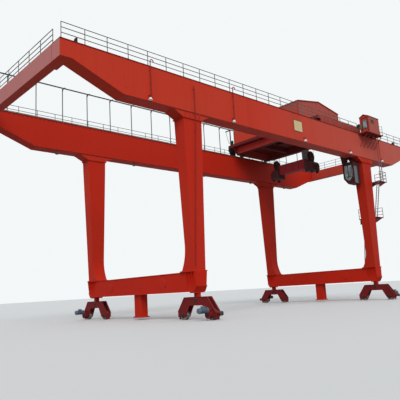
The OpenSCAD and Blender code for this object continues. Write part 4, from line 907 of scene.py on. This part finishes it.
def hoist_reeving():
    """Stranded ropes down to the sheaves, the rope coil on the drum, and the rope under each sheave."""
    ropes, coil, under = Mesh(), Mesh(), Mesh()
    centre = (ROPES_LOW[0] + ROPES_HIGH[0]) / 2
    reach_x = (ROPES_HIGH[0] - ROPES_LOW[0]) / 2 - ROPE_RADIUS
    reach_y = ROPES_HIGH[1] - ROPE_RADIUS
    top, bottom = ROPES_HIGH[2], ROPES_LOW[2]
    for x in (centre - reach_x, centre + reach_x):
        for y in (-reach_y, reach_y):
            ropes.grid(hoist_rope(x, y, top, bottom), around=True, ends=True)
    piece = ropes.piece("stranded_hoist_ropes", None, ROPE, "rope_wire", smooth=True)
    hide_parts("hoist_ropes")
    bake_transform(piece)
    wraps = 30
    share = np.linspace(0, 1, 4 * wraps + 1)
    swell = reach_x + ROPE_RADIUS * np.cos(share * wraps * 2 * math.pi)
    angle = np.linspace(math.pi, 2 * math.pi, 40)
    x, z = centre + reach_x * np.cos(angle), bottom + reach_x * np.sin(angle)
    for side in (-1, 1):
        outline = np.stack([swell, side * (reach_y - 0.54 + share * 0.55)], 1)
        coil.turned(outline, (centre, 0, top), 1, 64)
        under.tube(at(x, side * reach_y, z), ROPE_RADIUS, 10, (0.0, 1.0, 0.0))
    coil.piece("rope_coil_on_drum", "trolley", ROPE, "rope_wire", smooth=True)
    under.piece("ropes_under_sheaves", "spreader", ROPE, "rope_wire", smooth=True)


def spreader_fittings():
    """Bolts of the cheeks and end plates, sheave caps, corner locks and plates round the spreader's beam."""
    bolts, caps, plates = Mesh(), Mesh(), Mesh()
    beam_low, beam_high = corners("spreader_beam")
    head_low, head_high = corners("spreader_head")
    centre = (beam_low[0] + beam_high[0]) / 2
    rope_y = ROPES_HIGH[1] - ROPE_RADIUS
    cap = [(0.001, 0.0), (0.055, 0.0), (0.055, 0.02), (0.04, 0.026), (0.001, 0.028)]
    lock = [(0.001, 0.0), (0.045, 0.0), (0.045, 0.02), (0.03, 0.032), (0.001, 0.035)]
    for side in (-1, 1):
        for out in (-1, 1):
            face = (centre, side * rope_y + out * 0.07, ROPES_LOW[2])
            bolts.bolt_ring(face, 2 * out, 0.15, 10, 0.008, 0.011)
            caps.turned(cap, face, 1, 24, out)
        for x in (head_low[0] + 0.055, head_high[0] - 0.055):
            caps.turned(lock, (x, side * (head_high[1] - 0.16), head_low[2] + 0.01), 2, 20, -1)
        for x, out in ((head_low[0], -1), (head_high[0], 1)):
            y, z = around(side * (head_high[1] - 0.3), 0.0, 0.22, 0.2, 0.11)
            bolts.bolts(at(x, y, z + head_low[2] + 0.39), out, 0.008, 0.011)
    for y in (-0.93, 0.93):
        plates.span((centre - 0.225, centre + 0.225), (y - 0.012, y + 0.012),
                    (beam_low[2] - 0.015, beam_high[2] + 0.015))
    bolts.piece("spreader_bolts", "spreader", STEEL, "bare_steel")
    caps.piece("sheave_caps_and_locks", "spreader", DARK, "dark_paint")
    plates.piece("spreader_end_plates", "spreader", SPREADER_RED, "spreader_paint")


def electric_house_fittings():
    """Corner and verge strips, door frame and pane, louvre and cooling unit of the electrical house."""
    strips, dark, pane, unit, grey = [Mesh() for _ in range(5)]
    foot, lip = DECK_HIGH[2], 0.03
    x0, x1 = HUT_LOW[0] + lip, HUT_HIGH[0] - lip
    y0, y1 = HUT_LOW[1] + lip / 2, HUT_HIGH[1] - lip / 2
    eave = HUT_HIGH[2] - 0.13 - 0.012
    corner_strips(strips, (x0, y0), (x1, y1), foot, eave, 0.035, 0.008)
    over = [(HUT_LOW[1], eave), ((y0 + y1) / 2, HUT_HIGH[2]), (HUT_HIGH[1], eave)]
    dark.plates(band(over, 0.02, 0.004), 0, [HUT_LOW[0] - 0.004, HUT_HIGH[0] + 0.004], 0.008)
    for edge, out in ((HUT_LOW[1], -0.006), (HUT_HIGH[1], 0.006)):
        dark.span((HUT_LOW[0], HUT_HIGH[0]), (edge, edge + out), (eave - 0.012, eave + 0.014))
    door = (y0 + 0.06, y0 + 0.39)
    dark.frame(0, x0, -0.012, (door[0], foot), (door[1], foot + 0.85), 0.025)
    low, high = (door[0] + 0.05, foot + 0.24), (door[1] - 0.05, foot + 0.72)
    pane.blocks((x0 - 0.002, *low), (x0 + 0.008, *high))
    dark.frame(0, x0 + 0.008, -0.013, low, high, 0.018)
    left, right, low, high = x1 - 0.9, x1 - 0.56, foot + 0.56, foot + 0.76
    blade = np.array([(-0.008, 0.0), (0.02, 0.028), (0.02, 0.034), (-0.008, 0.006)])
    for z in steps(low + 0.004, high - 0.034, 0.021):
        grey.plates(blade + (y0, z), 0, (left + right) / 2, right - left)
    grey.frame(1, y0, -0.010, (left, low), (right, high), 0.02)
    grey.span((left, right), (y0 + 0.018, y0 + 0.024), (low, high))
    unit_low, unit_high = np.array([(x0 - 0.31, door[1] + 0.03, foot + 0.24), (x0, y1, foot + 0.50)])
    unit.blocks(unit_low, unit_high)
    fan = [(0.001, 0.0), (0.03, 0.0), (0.032, 0.012), (0.08, 0.012), (0.085, 0.0), (0.10, 0.0),
           (0.10, 0.016), (0.001, 0.018)]
    dark.turned(fan, (unit_low[0], *(unit_low + unit_high)[1:] / 2), 0, 28, -1)
    strips.piece("hut_corner_strips", "gantry", HOUSE_RED, "cabin_paint")
    dark.piece("hut_frames_and_fan", "gantry", DARK, "dark_paint")
    grey.piece("hut_louvre", "gantry", HUT_GREY, "dark_paint")
    pane.piece("hut_door_pane", "gantry", GLASS, "window_glass")
    unit.piece("hut_cooling_unit", "gantry", OLIVE, "dark_paint", bevel=0.012)


def platform_fittings():
    """Toe strip, end railing and bolts of the electrical house's platform."""
    rails, bolts = Mesh(), Mesh()
    top = DECK_HIGH[2]
    x = DECK_HIGH[0] - 0.012
    y0, y1 = DECK_LOW[1] + 0.012, FACES_Y[0] - LIP - 0.02
    for z in (0.187, 0.373, 0.56):
        rails.tube(at(x, (y0, (y0 + y1) / 2, y1), top + z), 0.009)
    for y in (y0, y1):
        rails.tube(at(x, y, top + np.array((0.0, 0.3, 0.56))), 0.010, side=(1.0, 0.0, 0.0))
    rails.span((x - 0.004, x + 0.004), (y0, y1), (top, top + 0.06))
    places = steps(DECK_LOW[0] + 0.1, DECK_HIGH[0] - 0.1, 0.375)
    for z in (-0.09, -0.76):
        bolts.bolts(at(places, FACES_Y[0], top + z), -2, 0.008, 0.010)
    rails.piece("platform_end_rail", "gantry", HANDRAIL, "galvanised")
    bolts.piece("platform_bolts", "gantry", STEEL, "bare_steel")


def cab_fittings():
    """Window frames, glazing bars, foot pane, roof rim, wiper and grab rail of the operator's cab."""
    frames, glass, rail = Mesh(), Mesh(), Mesh()
    (x0, y0, z0), (x1, y1, z1) = CAB_LOW, CAB_HIGH
    width = x1 - x0
    sill, head, knee = z0 + 0.39, z1 - 0.11, z0 + 0.18
    side = np.array([(y0 + 0.1, sill), (y0 + 0.3, knee), (y1 - 0.28, knee), (y1 - 0.09, sill - 0.02),
                     (y1 - 0.09, head), (y0 + 0.1, head)])
    centre = side.mean(axis=0)
    wide = centre + (side - centre) * 1.07
    bars = np.stack([side, np.roll(side, -1, 0), np.roll(wide, -1, 0), wide], axis=1)
    for face, out in ((x0, -0.006), (x1, 0.006)):
        for bar in bars:
            frames.plates(bar, 0, face + out, 0.014)
        depth = (face - 0.01, face + 0.01)
        frames.span(depth, (y0 + 0.332, y0 + 0.348), (knee, head))
        frames.span(depth, (y0 + 0.1, y1 - 0.09), (sill + 0.02, sill + 0.036))
    frames.frame(1, y1, 0.012, (x0 + 0.06, sill), (x1 - 0.06, head), 0.025)
    for x in (x0 + 0.23, x0 + 0.40):
        frames.span((x - 0.007, x + 0.007), (y1 - 0.02, y1 + 0.008), (sill, head))
    lean = np.array([(y1 - 0.25, z0), (y1, z0 + 0.33)])
    step = lean[1] - lean[0]
    out = np.array([step[1], -step[0]]) / np.linalg.norm(step)
    for mesh, low, high, thick, inset in ((glass, 0.12, 0.88, 0.006, 0.12),
                                          (frames, 0.08, 0.14, 0.014, 0.06),
                                          (frames, 0.88, 0.94, 0.014, 0.06)):
        near, far = lean[0] + step * low, lean[0] + step * high
        mesh.plates([near, far, far + out * thick, near + out * thick], 0, (x0 + x1) / 2, width - inset)
    frames.span((x0 - 0.015, x1 + 0.015), (y0 - 0.015, y1 + 0.015), (z1 - 0.03, z1 - 0.002))
    grab = np.array([(-0.03, 0.06, 0.3), (-0.035, 0.06, 0.6), (-0.03, 0.06, 0.9)])
    wiper = np.array([(0.3, 0.014, 0.02), (0.24, 0.016, 0.2), (0.19, 0.014, 0.36)])
    rail.tube((x0, y0, z0) + grab, 0.008, 8, (0.0, 1.0, 0.0))
    rail.tube((x0, y1, sill) + wiper, 0.005, 6, (0.0, 1.0, 0.0))
    frames.piece("cab_window_frames", "gantry", DARK, "dark_paint")
    glass.piece("cab_foot_pane", "gantry", GLASS, "window_glass")
    rail.piece("cab_grab_rail_and_wiper", "gantry", ZINC, "galvanised", smooth=True)


def lamp_lenses():
    """Domed lenses and yoke bands of the floodlights: a shallow bowl turned about the upright."""
    lenses, bands = Mesh(), Mesh()
    dome = [(0.001, -0.024), (0.03, -0.021), (0.055, -0.012), (0.070, 0.0), (0.001, 0.001)]
    mouth = [(0.078, -0.002), (0.083, 0.0), (0.083, 0.014), (0.078, 0.016)]
    neck = [(0.034, 0.10), (0.040, 0.10), (0.040, 0.118), (0.034, 0.12)]
    drop = GIRDER_UNDER - 0.177
    for share in LAMP_SHARES:
        for y, z in ((FACES_Y[0] - 0.11, drop + 0.2), (FACES_Y[2] + 0.06, drop)):
            place = (share * 2 * GIRDER_HIGH[0], y, z)
            lenses.turned(dome, place, 2, 28)
            bands.turned(mouth, place, 2, 28)
            bands.turned(neck, place, 2, 20)
    lenses.piece("lamp_lenses", "gantry", LAMP, "window_glass", smooth=True)
    bands.piece("lamp_bands", "gantry", LAMP, "lamp_casting")


def sign_board():
    """Plain enamel board with a raised rim and four bolts on the face of the near girder."""
    board, rim, bolts = Mesh(), Mesh(), Mesh()
    face = FACES_Y[0]
    front = face - 0.008
    x0, x1, z0, z1 = 0.01, 0.68, 8.28, 8.83
    board.span((x0, x1), (front, face), (z0, z1))
    rim.frame(1, face, -0.014, (x0 + 0.012, z0 + 0.012), (x1 - 0.012, z1 - 0.012), 0.012)
    for x in (x0 + 0.04, x1 - 0.04):
        bolts.bolts(at(x, front, (z0 + 0.04, z1 - 0.04)), -2, 0.006, 0.008)
    board.piece("bare_sign_board", "gantry", CREAM, "red_paint", bevel=0.003)
    rim.piece("sign_board_rim", "gantry", DARK, "dark_paint")
    bolts.piece("sign_board_bolts", "gantry", STEEL, "bare_steel")


def cable_gear():
    """Saddles and straps that carry the cable loops, and the slack cable down to the trolley's arm."""
    saddles, straps, slack = Mesh(), Mesh(), Mesh()
    low, high = corners("cable_loops")
    hung = at(high[0] - 0.059 - np.arange(6) * 0.15, (low[1] + high[1]) / 2, high[2])
    for side in (-1, 1):
        block = hung + (side * 0.051, 0, 0)
        saddles.blocks(block - (0.014, 0.034, 0.05), block + (0.014, 0.034, -0.002))
    for drop in (0.3, 0.62):
        straps.blocks(hung - (0.062, 0.033, drop + 0.02), hung + (0.062, 0.033, -drop + 0.02))
    arm_low, arm_high = corners("tow_arm")
    share = np.linspace(0, 1, 24)[:, None]
    start = np.array([arm_low[0] + 0.025, arm_high[1] - 0.04, arm_high[2] - 0.06])
    end = np.array([arm_low[0] + 0.19, arm_high[1] - 0.14, HOUSE_LOW[2] + 0.25])
    sag = np.array([0.10, 0.05, -0.25])
    slack.tube(start + share * (end - start) + 4 * share * (1 - share) * sag, 0.014, 10, (1.0, 0.0, 0.0))
    saddles.piece("cable_saddles", "gantry", ZINC, "galvanised", bevel=0.003)
    straps.piece("cable_straps", "gantry", DARK, "dark_paint")
    slack.piece("trolley_slack_cable", "trolley", PALE_CABLE, "black_rubber", smooth=True)


def camera():
    """Camera at its fitted place, with its turn, tilt and roll in degrees and its focal length in pixels."""
    place = (-18.70, -17.18, 1.04)
    turn, tilt, roll = [math.radians(angle) for angle in (-42.75, 10.42, -3.35)]
    focal_pixels, picture_width = 492.0, 400
    ahead = np.array([-math.sin(turn) * math.cos(tilt), math.cos(turn) * math.cos(tilt), math.sin(tilt)])
    right = np.cross(ahead, (0, 0, 1))
    right /= np.linalg.norm(right)
    above = np.cross(right, ahead)
    across = math.cos(roll) * right + math.sin(roll) * above
    up = math.cos(roll) * above - math.sin(roll) * right
    data = bpy.data.cameras.new("camera")
    data.sensor_width = 36.0
    data.lens = focal_pixels / picture_width * data.sensor_width
    data.clip_end = 500.0
    matrix = np.eye(4)
    matrix[:3] = np.stack([across, up, -ahead, place], axis=1)
    thing = placed("camera", data)
    thing.matrix_world = Matrix(matrix.tolist())
    bpy.context.scene.camera = thing


def surroundings():
    """Pale floor, hazy white world and one broad soft lamp high on the camera's left."""
    reach = 300.0
    data = bpy.data.meshes.new("floor")
    edges = [(-reach, -reach, 0), (reach, -reach, 0), (reach, reach, 0), (-reach, reach, 0)]
    data.from_pydata(edges, [], [(0, 1, 2, 3)])
    ground = Finish("pale_floor", {"Roughness": 0.9})
    ground.set("Base Color", ground.mix(ground.background_seen(), (0.20, 0.20, 0.20), (0.62, 0.63, 0.63)))
    data.materials.append(ground.material)
    placed("floor", data)
    world = bpy.data.worlds.new("haze")
    sky = Nodes(world)
    haze = sky.mix(sky.background_seen(), (0.62, 0.64, 0.66), (0.90, 0.935, 0.945))
    sky.node("ShaderNodeOutputWorld", None, {0: sky.node("ShaderNodeBackground", None, {0: haze})})
    lamp = bpy.data.lights.new("soft_sun", "SUN")
    lamp.energy = 1.7
    lamp.angle = math.radians(35)
    placed("soft_sun", lamp).rotation_euler = (math.radians(48), 0, math.radians(-38))
    bpy.context.scene.world = world
    bpy.context.scene.view_settings.view_transform = "Standard"


girder_welds()
rail_fixings()
railing_feet()
leg_joints()
sill_fittings()
end_beam_joints()
for corner in CORNERS:
    bogie_fittings(corner)
house_seams()
house_trim()
trolley_fittings()
hoist_reeving()
spreader_fittings()
electric_house_fittings()
platform_fittings()
cab_fittings()
lamp_lenses()
sign_board()
cable_gear()
camera()
surroundings()
